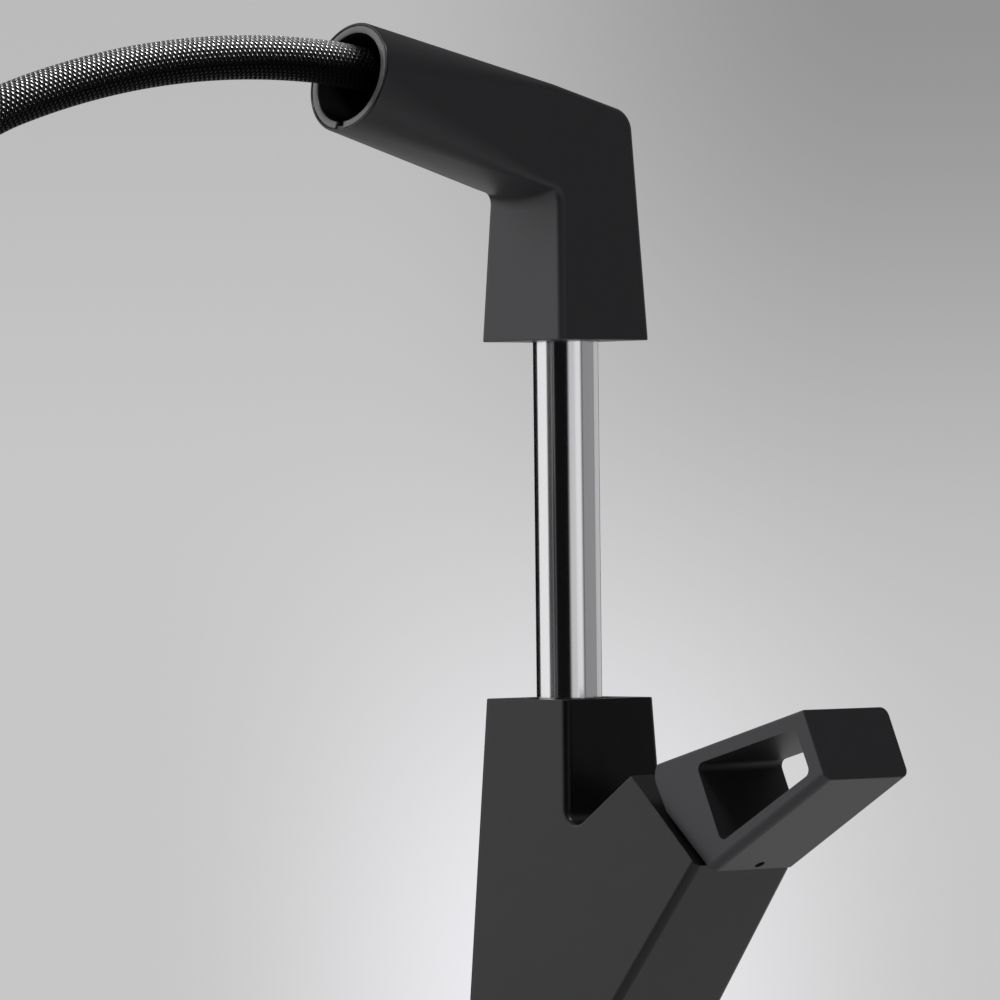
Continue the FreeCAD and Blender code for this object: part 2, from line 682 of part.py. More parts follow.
def spout_screw_bore(radius, length):
    """A cylinder from the stem's groove out through the back of the spout."""
    start = V(0, STEM_R + RUNNING_GAP - STEM_GROOVE_DEPTH, SPOUT_FOOT + SPOUT_SCREW_RISE)
    return Part.makeCylinder(radius, length, start, Y_AXIS)


def spout_screw():
    """The hexagon-socket screw that keeps the spout on the stem."""
    length = spout_half(SPOUT_FOOT + SPOUT_SCREW_RISE) - STEM_R - SPOUT_SCREW_RECESS
    screw = spout_screw_bore(SPOUT_SCREW_R - FIT, length)
    end = V(0, STEM_R + RUNNING_GAP - STEM_GROOVE_DEPTH + length,
            SPOUT_FOOT + SPOUT_SCREW_RISE)
    socket = hexagon(SPOUT_SCREW_R, -SOCKET_DEPTH, 1)
    socket.Placement = FreeCAD.Placement(end, FreeCAD.Rotation(Z_AXIS, Y_AXIS))
    return screw.cut(socket)


def swivel_bush():
    """The plastic sleeve on which the spout turns; its cap rests on the stem's end."""
    foot = SPOUT_FOOT + SPOUT_LIP
    bush = rod(SWIVEL_BUSH_R - FIT, foot, STEM_TOP + BUSH_CAP)
    bush = bush.cut(rod(STEM_R + FIT, foot - 1, STEM_TOP + FIT))
    bush = bush.cut(rod(HOSE_R + RUNNING_GAP, STEM_TOP, STEM_TOP + BUSH_CAP + 1))
    return bush.cut(spout_screw_bore(SPOUT_SCREW_R + FIT, 2 * JOINT_WIDTH))


def dock_ring():
    """The ring in the mouth that receives the spray's spigot, with its keyway below."""
    start = MOUTH - ARM_DIRECTION * (DOCK_DEPTH - FIT)
    length = DOCK_DEPTH - DOCK_RING_RECESS
    collar = Part.makeCylinder(DOCK_BORE_R - FIT, length, start, ARM_DIRECTION)
    collar = collar.cut(Part.makeCylinder(DOCK_RING_R, length + 2, start - ARM_DIRECTION,
                                          ARM_DIRECTION))
    key = block(-KEYWAY_WIDTH / 2, KEYWAY_WIDTH / 2, -DOCK_BORE_R - 1, -DOCK_RING_R + 1,
                -KEYWAY_LENGTH, 1)
    turn = FreeCAD.Rotation(X_AXIS, 90.0 - ARM_TILT)
    key.Placement = FreeCAD.Placement(MOUTH, turn)
    return collar.cut(key)


# Cartridge, made about Z with z = h

SEAT_H = -SEAT_DEPTH + SEAL_THICKNESS
DISC_FLOOR_H = SEAT_H + CARTRIDGE_FLOOR
DISC_TOP_H = DISC_FLOOR_H + 2 * DISC_THICKNESS
ROTOR_FOOT_H = DISC_TOP_H + RUNNING_GAP
ROTOR_LEDGE_H = ROTOR_FOOT_H + ROTOR_FLANGE


def port_places():
    """The (s, y) places of the two inlets and the outlet."""
    return (INLET_PORT_S, PORT_SPREAD), (INLET_PORT_S, -PORT_SPREAD), (OUTLET_PORT_S, 0.0)


def port_seals():
    inner = CARTRIDGE_PORT_R + PORT_SEAL_GAP
    seals = [ring(inner, inner + PORT_SEAL_WIDTH, -SEAT_DEPTH, SEAT_H, s, y)
             for s, y in port_places()]
    return on_branch(Part.makeCompound(seals))


def cartridge_housing():
    """The plastic cup that holds the discs and the rotor."""
    cup = rod(CARTRIDGE_R, SEAT_H, CARTRIDGE_SHOULDER_H)
    cup = cup.fuse(rod(CARTRIDGE_NECK_R, CARTRIDGE_SHOULDER_H, CARTRIDGE_TOP_H))
    cup = cup.cut(rod(DISC_CHAMBER_R, DISC_FLOOR_H, DISC_TOP_H + FIT))
    cup = cup.cut(rod(ROTOR_FLANGE_R + SLIP, DISC_TOP_H, ROTOR_LEDGE_H + SLIP))
    cup = cup.cut(rod(ROTOR_R + FIT, ROTOR_LEDGE_H, CARTRIDGE_TOP_H + 1))
    for s, y in port_places():
        cup = cup.cut(rod(CARTRIDGE_PORT_R, SEAT_H - 1, DISC_FLOOR_H + 1, s, y))
    return on_branch(cup)


def fixed_disc():
    disc = rod(DISC_CHAMBER_R - SLIP, DISC_FLOOR_H, DISC_FLOOR_H + DISC_THICKNESS)
    for s, y in port_places():
        disc = disc.cut(rod(CARTRIDGE_PORT_R, DISC_FLOOR_H - 1, DISC_TOP_H, s, y))
    return on_branch(disc)


def moving_disc():
    """The disc that opens the ports, with its mixing pocket and its drive hole."""
    foot = DISC_FLOOR_H + DISC_THICKNESS + FIT
    top = DISC_TOP_H
    disc = rod(MOVING_DISC_R, foot, top)
    roof = foot + DISC_POCKET_DEPTH
    disc = disc.cut(rod(MOVING_DISC_R - DISC_POCKET_WALL, foot - 1, roof))
    drive_r = SPINDLE_BALL_R + SLIP + FIT
    return on_branch(disc.cut(rod(drive_r, roof + DISC_POCKET_ROOF, top + 1)))


def cartridge_rotor():
    """The plastic rotor that turns with the lever and carries the pivot pin."""
    rotor = rod(ROTOR_FLANGE_R, ROTOR_FOOT_H, ROTOR_LEDGE_H)
    rotor = rotor.fuse(rod(ROTOR_R, ROTOR_LEDGE_H, ROTOR_TOP_H - ROTOR_CHAMFER))
    rotor = rotor.fuse(cone(ROTOR_R, ROTOR_R - ROTOR_CHAMFER, ROTOR_TOP_H - ROTOR_CHAMFER,
                            ROTOR_TOP_H))
    side = SPINDLE_SIDE / 2 + RUNNING_GAP
    swing = SPINDLE_SIDE / 2 * math.sqrt(2.0) + RUNNING_GAP
    rotor = rotor.cut(block(-swing, swing, -side, side, PIVOT_H - swing, ROTOR_TOP_H + 1))
    arm = SPINDLE_BALL_R + RUNNING_GAP
    low = ROTOR_FOOT_H - 1
    reach = (PIVOT_H - low) * math.tan(math.radians(LEVER_LIFT)) + RUNNING_GAP
    rotor = rotor.cut(block(-arm, arm + reach, -arm, arm, low, PIVOT_H))
    pin = Part.makeCylinder(PIVOT_R + FIT, 3 * ROTOR_R, V(0, -1.5 * ROTOR_R, PIVOT_H), Y_AXIS)
    return on_branch(rotor.cut(pin))


def pivot_pin():
    length = 2 * (ROTOR_R - PIVOT_END_INSET)
    return on_branch(Part.makeCylinder(PIVOT_R, length, V(0, -length / 2, PIVOT_H), Y_AXIS))


def spindle():
    """The square bar that the lever clamps, with the arm that drives the moving disc."""
    half = SPINDLE_SIDE / 2
    foot = PIVOT_H - half
    bar = block(-half, half, -half, half, foot, SPINDLE_TOP_H)
    centre = DISC_TOP_H - SPINDLE_BALL_DEPTH
    ball = Part.makeSphere(SPINDLE_BALL_R, V(0, 0, centre))
    ball = ball.cut(rod(2 * SPINDLE_BALL_R, centre - 2 * SPINDLE_BALL_R,
                        centre - SPINDLE_BALL_FLAT))
    bar = bar.fuse(rod(SPINDLE_ARM_R, centre, foot)).fuse(ball)
    pin = Part.makeCylinder(PIVOT_R + FIT, 2 * SPINDLE_SIDE, V(0, -SPINDLE_SIDE, PIVOT_H),
                            Y_AXIS)
    return on_branch(bar.cut(pin))


def cartridge_nut():
    """The brass ring nut that presses the cartridge on its seals, with spanner slots."""
    top = CARTRIDGE_TOP_H - SLIP
    nut = ring(CARTRIDGE_NECK_R + SLIP, CARTRIDGE_BORE_R - FIT, CARTRIDGE_SHOULDER_H, top)
    for turn in (0, 90):
        slot = block(-CARTRIDGE_BORE_R, CARTRIDGE_BORE_R, -NUT_SLOT_WIDTH / 2,
                     NUT_SLOT_WIDTH / 2, top - NUT_SLOT_DEPTH, top + 1)
        slot.rotate(V(), Z_AXIS, turn + 45)
        nut = nut.cut(slot)
    return on_branch(nut)


# Lever, drawn in s and h

def along(start, end, distance):
    """The point a distance from start towards end."""
    step = V(end[0] - start[0], end[1] - start[1], 0).normalize()
    return start[0] + step.x * distance, start[1] + step.y * distance


def lever_outline():
    """The lever's side: a flat and a facet over the branch, rolled up to the rear's top."""
    def at(point):
        return V(point[0], 0, point[1])

    facet = (at(LEVER_ROLL) - at(LEVER_FLAT_END)).normalize()
    chord = at(LEVER_REAR_TOP) - at(LEVER_ROLL)
    turn = facet.getAngle(chord)
    radius = chord.Length / (2 * math.sin(turn))
    bulge = radius * (1 - math.cos(turn))
    outward = (facet * chord.Length - chord * math.cos(turn)).normalize()
    middle = (at(LEVER_ROLL) + at(LEVER_REAR_TOP)) * 0.5 + outward * bulge
    corners = [LEVER_FLAT_END, LEVER_REAR_LOW, LEVER_TIP_LOW, LEVER_TIP_TOP, LEVER_REAR_TOP]
    edges = [Part.makeLine(at(p), at(q)) for p, q in zip(corners, corners[1:])]
    edges.append(Part.Arc(at(LEVER_REAR_TOP), middle, at(LEVER_ROLL)).toShape())
    edges.append(Part.makeLine(at(LEVER_ROLL), at(LEVER_FLAT_END)))
    return Part.Wire(edges)


def lever_window():
    """The slanted window through the lever."""
    corners = [(s, h, WINDOW_CORNER_R) for s, h in LEVER_WINDOW]
    return side_prism(corners, 2 * LEVER_HALF_WIDTH)


def lever_screw_line():
    """Start, direction and length of the screw's bore, from the underside to the spindle."""
    s, h = along(LEVER_REAR_LOW, LEVER_TIP_LOW, LEVER_SCREW_INSET)
    start = V(s, 0, h)
    target = V(SPINDLE_SIDE / 2, 0, SPINDLE_TOP_H - LEVER_SCREW_DROP)
    return start, (target - start).normalize(), (target - start).Length


def on_line(start, end):
    """A test for points of the lever whose (s, h) lies on a line."""
    origin = V(start[0], 0, start[1])
    way = (V(end[0], 0, end[1]) - origin).normalize()

    def test(p):
        return (V(p.x, 0, p.z) - origin).cross(way).Length < 0.01

    return test


def lever_blank():
    """The lever's block with its rounded edges."""
    shape = Part.Face(lever_outline()).extrude(V(0, 2 * LEVER_HALF_WIDTH, 0))
    shape.translate(V(0, -LEVER_HALF_WIDTH, 0))
    top = on_line(LEVER_REAR_TOP, LEVER_TIP_TOP)
    bottom = on_line(LEVER_REAR_LOW, LEVER_TIP_LOW)

    def on_side(p, side):
        return abs(p.y - side * LEVER_HALF_WIDTH) < 0.01

    crest = edges_near(shape, lambda p: top(p) and on_side(p, -1))
    others = edges_near(shape, lambda p: top(p) and on_side(p, 1))
    others += edges_near(shape, lambda p: bottom(p) and abs(p.y) > LEVER_HALF_WIDTH - 0.01)
    shape = round_edges(shape, [(edge, LEVER_CREST_R, LEVER_CREST_R) for edge in crest]
                        + [(edge, LEVER_EDGE_R, LEVER_EDGE_R) for edge in others])
    return shape.makeFillet(LEVER_END_EDGE_R,
                            edges_near(shape, on_line(LEVER_TIP_LOW, LEVER_TIP_TOP)))


def lever():
    """The looped handle, with its pocket over the rotor and its square socket."""
    shape = lever_blank().cut(lever_window())
    shape = shape.cut(rod(LEVER_POCKET_R, -5, LEVER_POCKET_H))
    half = SPINDLE_SIDE / 2 + FIT
    shape = shape.cut(block(-half, half, -half, half, LEVER_POCKET_H - 1, SPINDLE_TOP_H + SLIP))
    start, direction, length = lever_screw_line()
    return on_branch(shape.cut(Part.makeCylinder(LEVER_SCREW_R, length + LEVER_SCREW_LENGTH,
                                                 start - direction * LEVER_SCREW_LENGTH,
                                                 direction)))


def lever_screw():
    """The hexagon-socket screw that clamps the lever on the spindle."""
    start, direction, length = lever_screw_line()
    tip = length - LEVER_SCREW_R * math.tan(direction.getAngle(-X_AXIS)) - SLIP
    head = start + direction * (tip - LEVER_SCREW_LENGTH)
    screw = Part.makeCylinder(LEVER_SCREW_R - FIT, LEVER_SCREW_LENGTH, head, direction)
    socket = hexagon(LEVER_SCREW_R, -1, SOCKET_DEPTH)
    socket.Placement = FreeCAD.Placement(head, FreeCAD.Rotation(Z_AXIS, direction))
    return on_branch(screw.cut(socket))


# Hose

def hose_tube(points, radii):
    """A round tube along straight runs joined by tangent arcs of the given radii."""
    corners = [V(0, y, z) for y, z in points]
    edges = []
    start = corners[0]
    for before, corner, after, radius in zip(corners, corners[1:], corners[2:], radii):
        back = (before - corner).normalize()
        ahead = (after - corner).normalize()
        half = back.getAngle(ahead) / 2
        cut = radius / math.tan(half)
        arc_start = corner + back * cut
        arc_end = corner + ahead * cut
        middle = corner + (back + ahead).normalize() * (radius / math.sin(half) - radius)
        edges.append(Part.LineSegment(start, arc_start).toShape())
        edges.append(Part.Arc(arc_start, middle, arc_end).toShape())
        start = arc_end
    edges.append(Part.LineSegment(start, corners[-1]).toShape())
    path = Part.Wire(edges)
    section = Part.Wire(Part.makeCircle(HOSE_R, corners[0], corners[1] - corners[0]))
    tube = path.makePipeShell([section], True, False)
    expected = math.pi * HOSE_R ** 2 * path.Length
    print("hose %.1f mm long, volume %.4f of section times length"
          % (path.Length, tube.Volume / expected))
    return tube


def hose_inner():
    """The hose inside the stem and the arm, up to where it is free."""
    foot = (0.0, STEM_FOOT + HOSE_FOOT_RISE)
    elbow = (0.0, ARM_AXIS_Z + HOSE_ELBOW_RISE)
    return hose_tube([foot, elbow, HOSE_ROUTE[0]], [HOSE_ELBOW_R])


def hose_radii():
    """Each bend's radius, as large as its two runs allow."""
    corners = [V(0, y, z) for y, z in HOSE_ROUTE]
    radii = []
    for before, corner, after in zip(corners, corners[1:], corners[2:]):
        turn = (corner - before).getAngle(after - corner)
        shorter = min((corner - before).Length, (after - corner).Length)
        radii.append(HOSE_ARC_SHARE * shorter / math.tan(turn / 2))
    return radii


def hose():
    """The free hose, from inside the mouth to the spray's nut."""
    radii = hose_radii()
    print("hose bend radii", [round(r) for r in radii])
    return hose_tube(HOSE_ROUTE, radii)


# Spray

def spray_rod(radius, foot, top):
    """A cylinder about the spray's upright axis."""
    return rod(radius, foot, top, 0.0, SPRAY_Y)


def across(radius, y0, y1, z, x=0.0):
    """A cylinder along Y, with y measured from the spray's axis."""
    return Part.makeCylinder(radius, y1 - y0, V(x, SPRAY_Y + y0, z), Y_AXIS)


def hose_nut():
    """The conical nut on the hose's end, screwed into the spray."""
    shoulder = SPRAY_TOP - NUT_LENGTH
    nut = cone(NUT_R, NUT_TOP_R, shoulder, SPRAY_TOP, 0.0, SPRAY_Y)
    nut = nut.fuse(spray_rod(NUT_THREAD_R, shoulder - NUT_THREAD_LENGTH, shoulder))
    return nut.cut(spray_rod(CORE_WATERWAY_R, shoulder - NUT_THREAD_LENGTH - 1,
                             SPRAY_TOP - NUT_ROOF))


def hose_washer():
    """The seal between the nut's thread and the core."""
    top = SPRAY_TOP - NUT_LENGTH - NUT_THREAD_LENGTH
    return ring(CORE_WATERWAY_R, NUT_THREAD_R, top - SEAL_DEPTH, top, 0.0, SPRAY_Y)


def button_outline(grow, y0, y1):
    """A pill-shaped prism along Y about the button's centre."""
    half = BUTTON_WIDTH / 2 + grow
    straight = (BUTTON_LENGTH - BUTTON_WIDTH) / 2
    pill = block(-half, half, SPRAY_Y + y0, SPRAY_Y + y1, BUTTON_Z - straight,
                 BUTTON_Z + straight)
    for end in (-straight, straight):
        pill = pill.fuse(across(half, y0, y1, BUTTON_Z + end))
    return pill.removeSplitter()


def spray_shell():
    """The round shell with its spigot, its guide key, its outlet boss and its button slot."""
    shell = spray_rod(SHELL_R, SPRAY_TIP, SPRAY_SHOULDER)
    tip_edges = edges_near(shell, lambda p: abs(p.z - SPRAY_TIP) < 0.01)
    shell = shell.makeFillet(SHELL_EDGE_R, [e for e in tip_edges if e.Length > SHELL_R])
    shell = shell.fuse(spray_rod(SPIGOT_R, SPRAY_SHOULDER, SPRAY_SHOULDER + SPIGOT_LENGTH))
    key_y = SPRAY_Y + SPIGOT_R
    shell = shell.fuse(block(-KEY_WIDTH / 2, KEY_WIDTH / 2, key_y - 1, key_y + KEY_HEIGHT,
                             SPRAY_SHOULDER, SPRAY_SHOULDER + KEY_LENGTH))
    shell = shell.fuse(across(OUTLET_BOSS_R, 0, OUTLET_BOSS_OUT, OUTLET_Z))
    inner = SHELL_R - SHELL_WALL
    shell = shell.cut(spray_rod(inner, SPRAY_TIP + SHELL_WALL, SPRAY_SHOULDER - SHELL_WALL))
    shell = shell.cut(spray_rod(SPIGOT_BORE_R, SPRAY_SHOULDER - SHELL_WALL - 1,
                                SPRAY_SHOULDER + SPIGOT_LENGTH + 1))
    shell = shell.cut(across(OUTLET_BORE_R, 0, OUTLET_BOSS_OUT + 1, OUTLET_Z))
    return shell.cut(button_outline(RUNNING_GAP, -SHELL_R - SHELL_WALL, -SHELL_R / 2))


FACE_OUT = OUTLET_BOSS_OUT - SPRAY_FACE_RECESS
FACE_BACK = FACE_OUT - SPRAY_FACE_THICKNESS
BUTTON_BACK = BUTTON_PLATE - SHELL_R - BUTTON_PROUD
BUTTON_WELL = BUTTON_BACK + BUTTON_TRAVEL + RUNNING_GAP
SPRING_SEAT = BUTTON_WELL + SPRING_WELL_DEPTH


def nozzle_places():
    """The places of the nozzles around the outlet's axis."""
    for i in range(NOZZLE_COUNT):
        turn = 2 * math.pi * i / NOZZLE_COUNT
        yield NOZZLE_RING_R * math.cos(turn), OUTLET_Z + NOZZLE_RING_R * math.sin(turn)


def spray_core():
    """The inner water body: inlet, valve seat, button well and outlet chamber."""
    core_top = SPRAY_SHOULDER - SHELL_WALL - SLIP
    neck_top = SPRAY_TOP - NUT_LENGTH - SLIP
    shoulder = SPRAY_TOP - NUT_LENGTH - NUT_THREAD_LENGTH
    core = spray_rod(CORE_R, SPRAY_TIP + SHELL_WALL + SLIP, core_top)
    core = core.fuse(spray_rod(SPIGOT_BORE_R - FIT, core_top, neck_top))
    core = core.fuse(across(OUTLET_BORE_R - SLIP, 0, FACE_BACK, OUTLET_Z))
    core = core.cut(spray_rod(NUT_THREAD_R + FIT, shoulder - SEAL_DEPTH, neck_top + 1))
    core = core.cut(spray_rod(VALVE_R, shoulder - SEAL_DEPTH - VALVE_LENGTH, shoulder))
    core = core.cut(spray_rod(CORE_WATERWAY_R, OUTLET_Z, shoulder))
    core = core.cut(across(OUTLET_BORE_R - SHELL_WALL, FACE_BACK - OUTLET_CHAMBER,
                           FACE_BACK + 1, OUTLET_Z))
    core = core.cut(across(CORE_WATERWAY_R, 0, FACE_BACK, OUTLET_Z))
    core = core.cut(button_outline(RUNNING_GAP, -SHELL_R, BUTTON_WELL))
    core = core.cut(across(SPRING_R + RUNNING_GAP, BUTTON_WELL - 1, SPRING_SEAT, BUTTON_Z))
    plunger_end = BUTTON_BACK + PLUNGER_LENGTH
    return core.cut(across(PLUNGER_R + FIT, SPRING_SEAT - 1,
                           plunger_end + BUTTON_TRAVEL + RUNNING_GAP, BUTTON_Z))


def check_valve():
    """The non-return valve in the core's inlet."""
    top = SPRAY_TOP - NUT_LENGTH - NUT_THREAD_LENGTH - SEAL_DEPTH
    valve = spray_rod(VALVE_R - FIT, top - VALVE_LENGTH, top)
    return valve.cut(spray_rod(VALVE_R - VALVE_WALL, top - VALVE_LENGTH - 1, top + 1))


def spray_face():
    """The face plate with its aerator seat and its nozzle holes."""
    face = across(OUTLET_BORE_R - FIT, FACE_BACK, FACE_OUT, OUTLET_Z)
    face = face.cut(across(AERATOR_R, FACE_BACK - 1, FACE_OUT + 1, OUTLET_Z))
    for x, z in nozzle_places():
        face = face.cut(across(NOZZLE_R, FACE_BACK - 1, FACE_OUT + 1, z, x))
    return face


def spray_nozzles():
    """Soft nozzles, one in each hole of the face plate."""
    nozzles = []
    for x, z in nozzle_places():
        pip = across(NOZZLE_R - FIT, FACE_BACK, FACE_OUT + NOZZLE_OUT, z, x)
        nozzles.append(pip.cut(across(NOZZLE_R / 2, FACE_BACK - 1, FACE_OUT + 2, z, x)))
    return Part.makeCompound(nozzles)


def aerator():
    """The insert in the middle of the face plate, pierced by a grid of small square holes."""
    back = FACE_BACK - OUTLET_CHAMBER + RUNNING_GAP
    front = FACE_OUT - AERATOR_RECESS
    inner = AERATOR_R - AERATOR_WALL
    insert = across(AERATOR_R - FIT, back, front, OUTLET_Z)
    insert = insert.cut(across(inner, back - 1, front - AERATOR_WALL, OUTLET_Z))
    half = AERATOR_HOLE / 2
    reach = int(inner // AERATOR_PITCH)
    for i in range(-reach, reach + 1):
        for j in range(-reach, reach + 1):
            if math.hypot(i, j) * AERATOR_PITCH < inner - half:
                x, z = i * AERATOR_PITCH, OUTLET_Z + j * AERATOR_PITCH
                insert = insert.cut(block(x - half, x + half, SPRAY_Y, SPRAY_Y + FACE_OUT + 1,
                                          z - half, z + half))
    return insert


def diverter_button():
    """The pill-shaped button that changes the jet, with its plunger."""
    front = -SHELL_R - BUTTON_PROUD
    button = button_outline(0.0, front, BUTTON_BACK)
    rim = edges_near(button, lambda p: abs(p.y - SPRAY_Y - front) < 0.01)
    button = button.makeFillet(BUTTON_EDGE_R, rim)
    return button.fuse(across(PLUNGER_R, BUTTON_BACK, BUTTON_BACK + PLUNGER_LENGTH, BUTTON_Z))


def button_spring():
    """The return spring around the plunger, between the core and the button."""
    length = SPRING_SEAT - BUTTON_BACK - 2 * SPRING_WIRE_R - 2 * FIT
    mean = SPRING_R - SPRING_WIRE_R
    path = Part.makeHelix(length / SPRING_TURNS, length, mean)
    section = Part.Wire(Part.makeCircle(SPRING_WIRE_R, V(mean, 0, 0), Y_AXIS))
    coil = Part.Wire(path).makePipeShell([section], True, True)
    start = V(0, SPRAY_Y + BUTTON_BACK + SPRING_WIRE_R + FIT, BUTTON_Z)
    coil.Placement = FreeCAD.Placement(start, FreeCAD.Rotation(Z_AXIS, Y_AXIS))
    return coil


NODES = [
    mixer_body, base_seal, clamp_rubber_washer, clamp_steel_washer, fixing_nut,
    guide_bush, wiper_ring, gland_ring,
    stem_tube, slide_collar, brake_ring, stem_circlips,
    spout_elbow, spout_screw, swivel_bush, dock_ring, hose_inner,
    port_seals, cartridge_housing, fixed_disc, moving_disc, cartridge_rotor, pivot_pin,
    spindle, cartridge_nut, lever, lever_screw,
    hose, hose_nut, hose_washer, spray_shell, spray_core, check_valve, spray_face,
    spray_nozzles, aerator, diverter_button, button_spring,
]


def main():
    os.makedirs("parts", exist_ok=True)
    for make in NODES:
        shape = make()
        solids = shape.Solids
        print("%-22s %2d solid %10.1f mm3 %s"
              % (make.__name__, len(solids), shape.Volume, "" if shape.isValid() else "INVALID"))
        shape.exportStep("parts/%s.step" % make.__name__)


main()
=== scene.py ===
"""A height-adjustable kitchen faucet with a pull-out spray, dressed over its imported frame.

Every length is in metres and every place is in the frame's own axes: +Z up, the spout along -Y
and the lever's branch along +X.
"""

import logging
import math
from dataclasses import dataclass
from enum import Enum
from typing import Dict, List, Optional, Sequence, Tuple, Union

import bmesh
import bpy
from mathutils import Matrix, Vector


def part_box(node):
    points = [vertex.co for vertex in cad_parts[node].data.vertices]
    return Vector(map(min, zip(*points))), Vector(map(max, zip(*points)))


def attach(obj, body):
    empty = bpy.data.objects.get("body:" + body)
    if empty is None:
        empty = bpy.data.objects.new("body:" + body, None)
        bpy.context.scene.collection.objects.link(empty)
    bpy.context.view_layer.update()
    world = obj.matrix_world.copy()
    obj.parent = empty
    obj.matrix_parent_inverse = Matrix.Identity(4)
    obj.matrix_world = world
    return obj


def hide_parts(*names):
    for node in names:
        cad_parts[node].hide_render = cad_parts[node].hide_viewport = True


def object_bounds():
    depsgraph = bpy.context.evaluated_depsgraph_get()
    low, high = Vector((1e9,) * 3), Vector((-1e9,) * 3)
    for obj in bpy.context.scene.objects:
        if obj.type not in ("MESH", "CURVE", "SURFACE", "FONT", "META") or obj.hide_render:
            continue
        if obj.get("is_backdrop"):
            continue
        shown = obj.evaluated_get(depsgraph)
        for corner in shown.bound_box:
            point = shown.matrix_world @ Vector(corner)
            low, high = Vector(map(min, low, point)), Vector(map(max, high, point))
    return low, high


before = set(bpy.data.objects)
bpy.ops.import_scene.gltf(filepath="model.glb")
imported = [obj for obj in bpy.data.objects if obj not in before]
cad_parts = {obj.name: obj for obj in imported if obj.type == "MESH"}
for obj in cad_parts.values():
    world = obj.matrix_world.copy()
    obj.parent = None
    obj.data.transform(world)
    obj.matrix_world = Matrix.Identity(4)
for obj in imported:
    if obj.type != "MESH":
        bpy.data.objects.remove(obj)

LOG = logging.getLogger("faucet")
MM = 0.001

# How strongly a noise's finer layers show.
NOISE_FINENESS = 0.55
# Features in a metre of the noises that vary a finish's colour and its gloss.
CLOUDS = 90.0
PATCHES = 160.0

Triple = Tuple[float, float, float]
Colour = Triple
Span = Tuple[float, float]
Number = Union[int, float]


# Shader maths


class Wire:
    """A socket of a shader graph that takes part in Python arithmetic."""

    def __init__(self, graph: "Graph", socket: bpy.types.NodeSocket) -> None:
        """Wraps an output socket."""
        self.graph = graph
        self.socket = socket

    def _math(self, operation: str, first: "Feed", second: "Feed" = 0.0) -> "Wire":
        """Adds a Math node.

        Args:
            operation: the node's operation.
            first: the value or wire of its first socket.
            second: the value or wire of its second socket.

        Returns:
            The result.
        """
        return self.graph.node("Math", {"operation": operation}, {0: first, 1: second}).wire()

    def __add__(self, other: "Feed") -> "Wire":
        """Adds."""
        return self._math("ADD", self, other)

    def __radd__(self, other: "Feed") -> "Wire":
        """Adds to a number."""
        return self._math("ADD", other, self)

    def __sub__(self, other: "Feed") -> "Wire":
        """Subtracts."""
        return self._math("SUBTRACT", self, other)

    def __rsub__(self, other: "Feed") -> "Wire":
        """Subtracts from a number."""
        return self._math("SUBTRACT", other, self)

    def __mul__(self, other: "Feed") -> "Wire":
        """Multiplies."""
        return self._math("MULTIPLY", self, other)

    def __rmul__(self, other: "Feed") -> "Wire":
        """Multiplies a number."""
        return self._math("MULTIPLY", other, self)

    def __truediv__(self, other: "Feed") -> "Wire":
        """Divides."""
        return self._math("DIVIDE", self, other)

    def __pow__(self, other: "Feed") -> "Wire":
        """Raises to a power."""
        return self._math("POWER", self, other)

    def __abs__(self) -> "Wire":
        """The size without its sign."""
        return self._math("ABSOLUTE", self)

    def sine(self) -> "Wire":
        """The sine of an angle in radians."""
        return self._math("SINE", self)

    def root(self) -> "Wire":
        """The square root."""
        return self._math("SQRT", self)

    def angle_to(self, across: "Wire") -> "Wire":
        """The angle of the point (across, self), in radians."""
        return self._math("ARCTAN2", self, across)

    def fraction(self) -> "Wire":
        """What is left after the whole part."""
        return self._math("FRACT", self)

    def at_least(self, other: "Feed") -> "Wire":
        """The larger of two values."""
        return self._math("MAXIMUM", self, other)

    def above(self, limit: "Feed") -> "Wire":
        """1 where the value is larger than the limit, and 0 elsewhere."""
        return self._math("GREATER_THAN", self, limit)

    def smooth(self, low: float, high: float) -> "Wire":
        """Rises smoothly from 0 at low to 1 at high, and falls if low is the higher.

        Args:
            low: the value that gives 0.
            high: the value that gives 1.

        Returns:
            The result, between 0 and 1.
        """
        settings = {"interpolation_type": "SMOOTHSTEP"}
        return self.graph.node("MapRange", settings, {0: self, 1: low, 2: high}).wire()


Feed = Union[Number, Colour, Wire]


class Made:
    """A node that has been made, whose outputs are read by name."""

    def __init__(self, graph: "Graph", made: bpy.types.Node) -> None:
        """Wraps a node."""
        self.graph = graph
        self.made = made

    def wire(self, output: Union[int, str] = 0) -> Wire:
        """One of the node's outputs."""
        return Wire(self.graph, self.made.outputs[output])


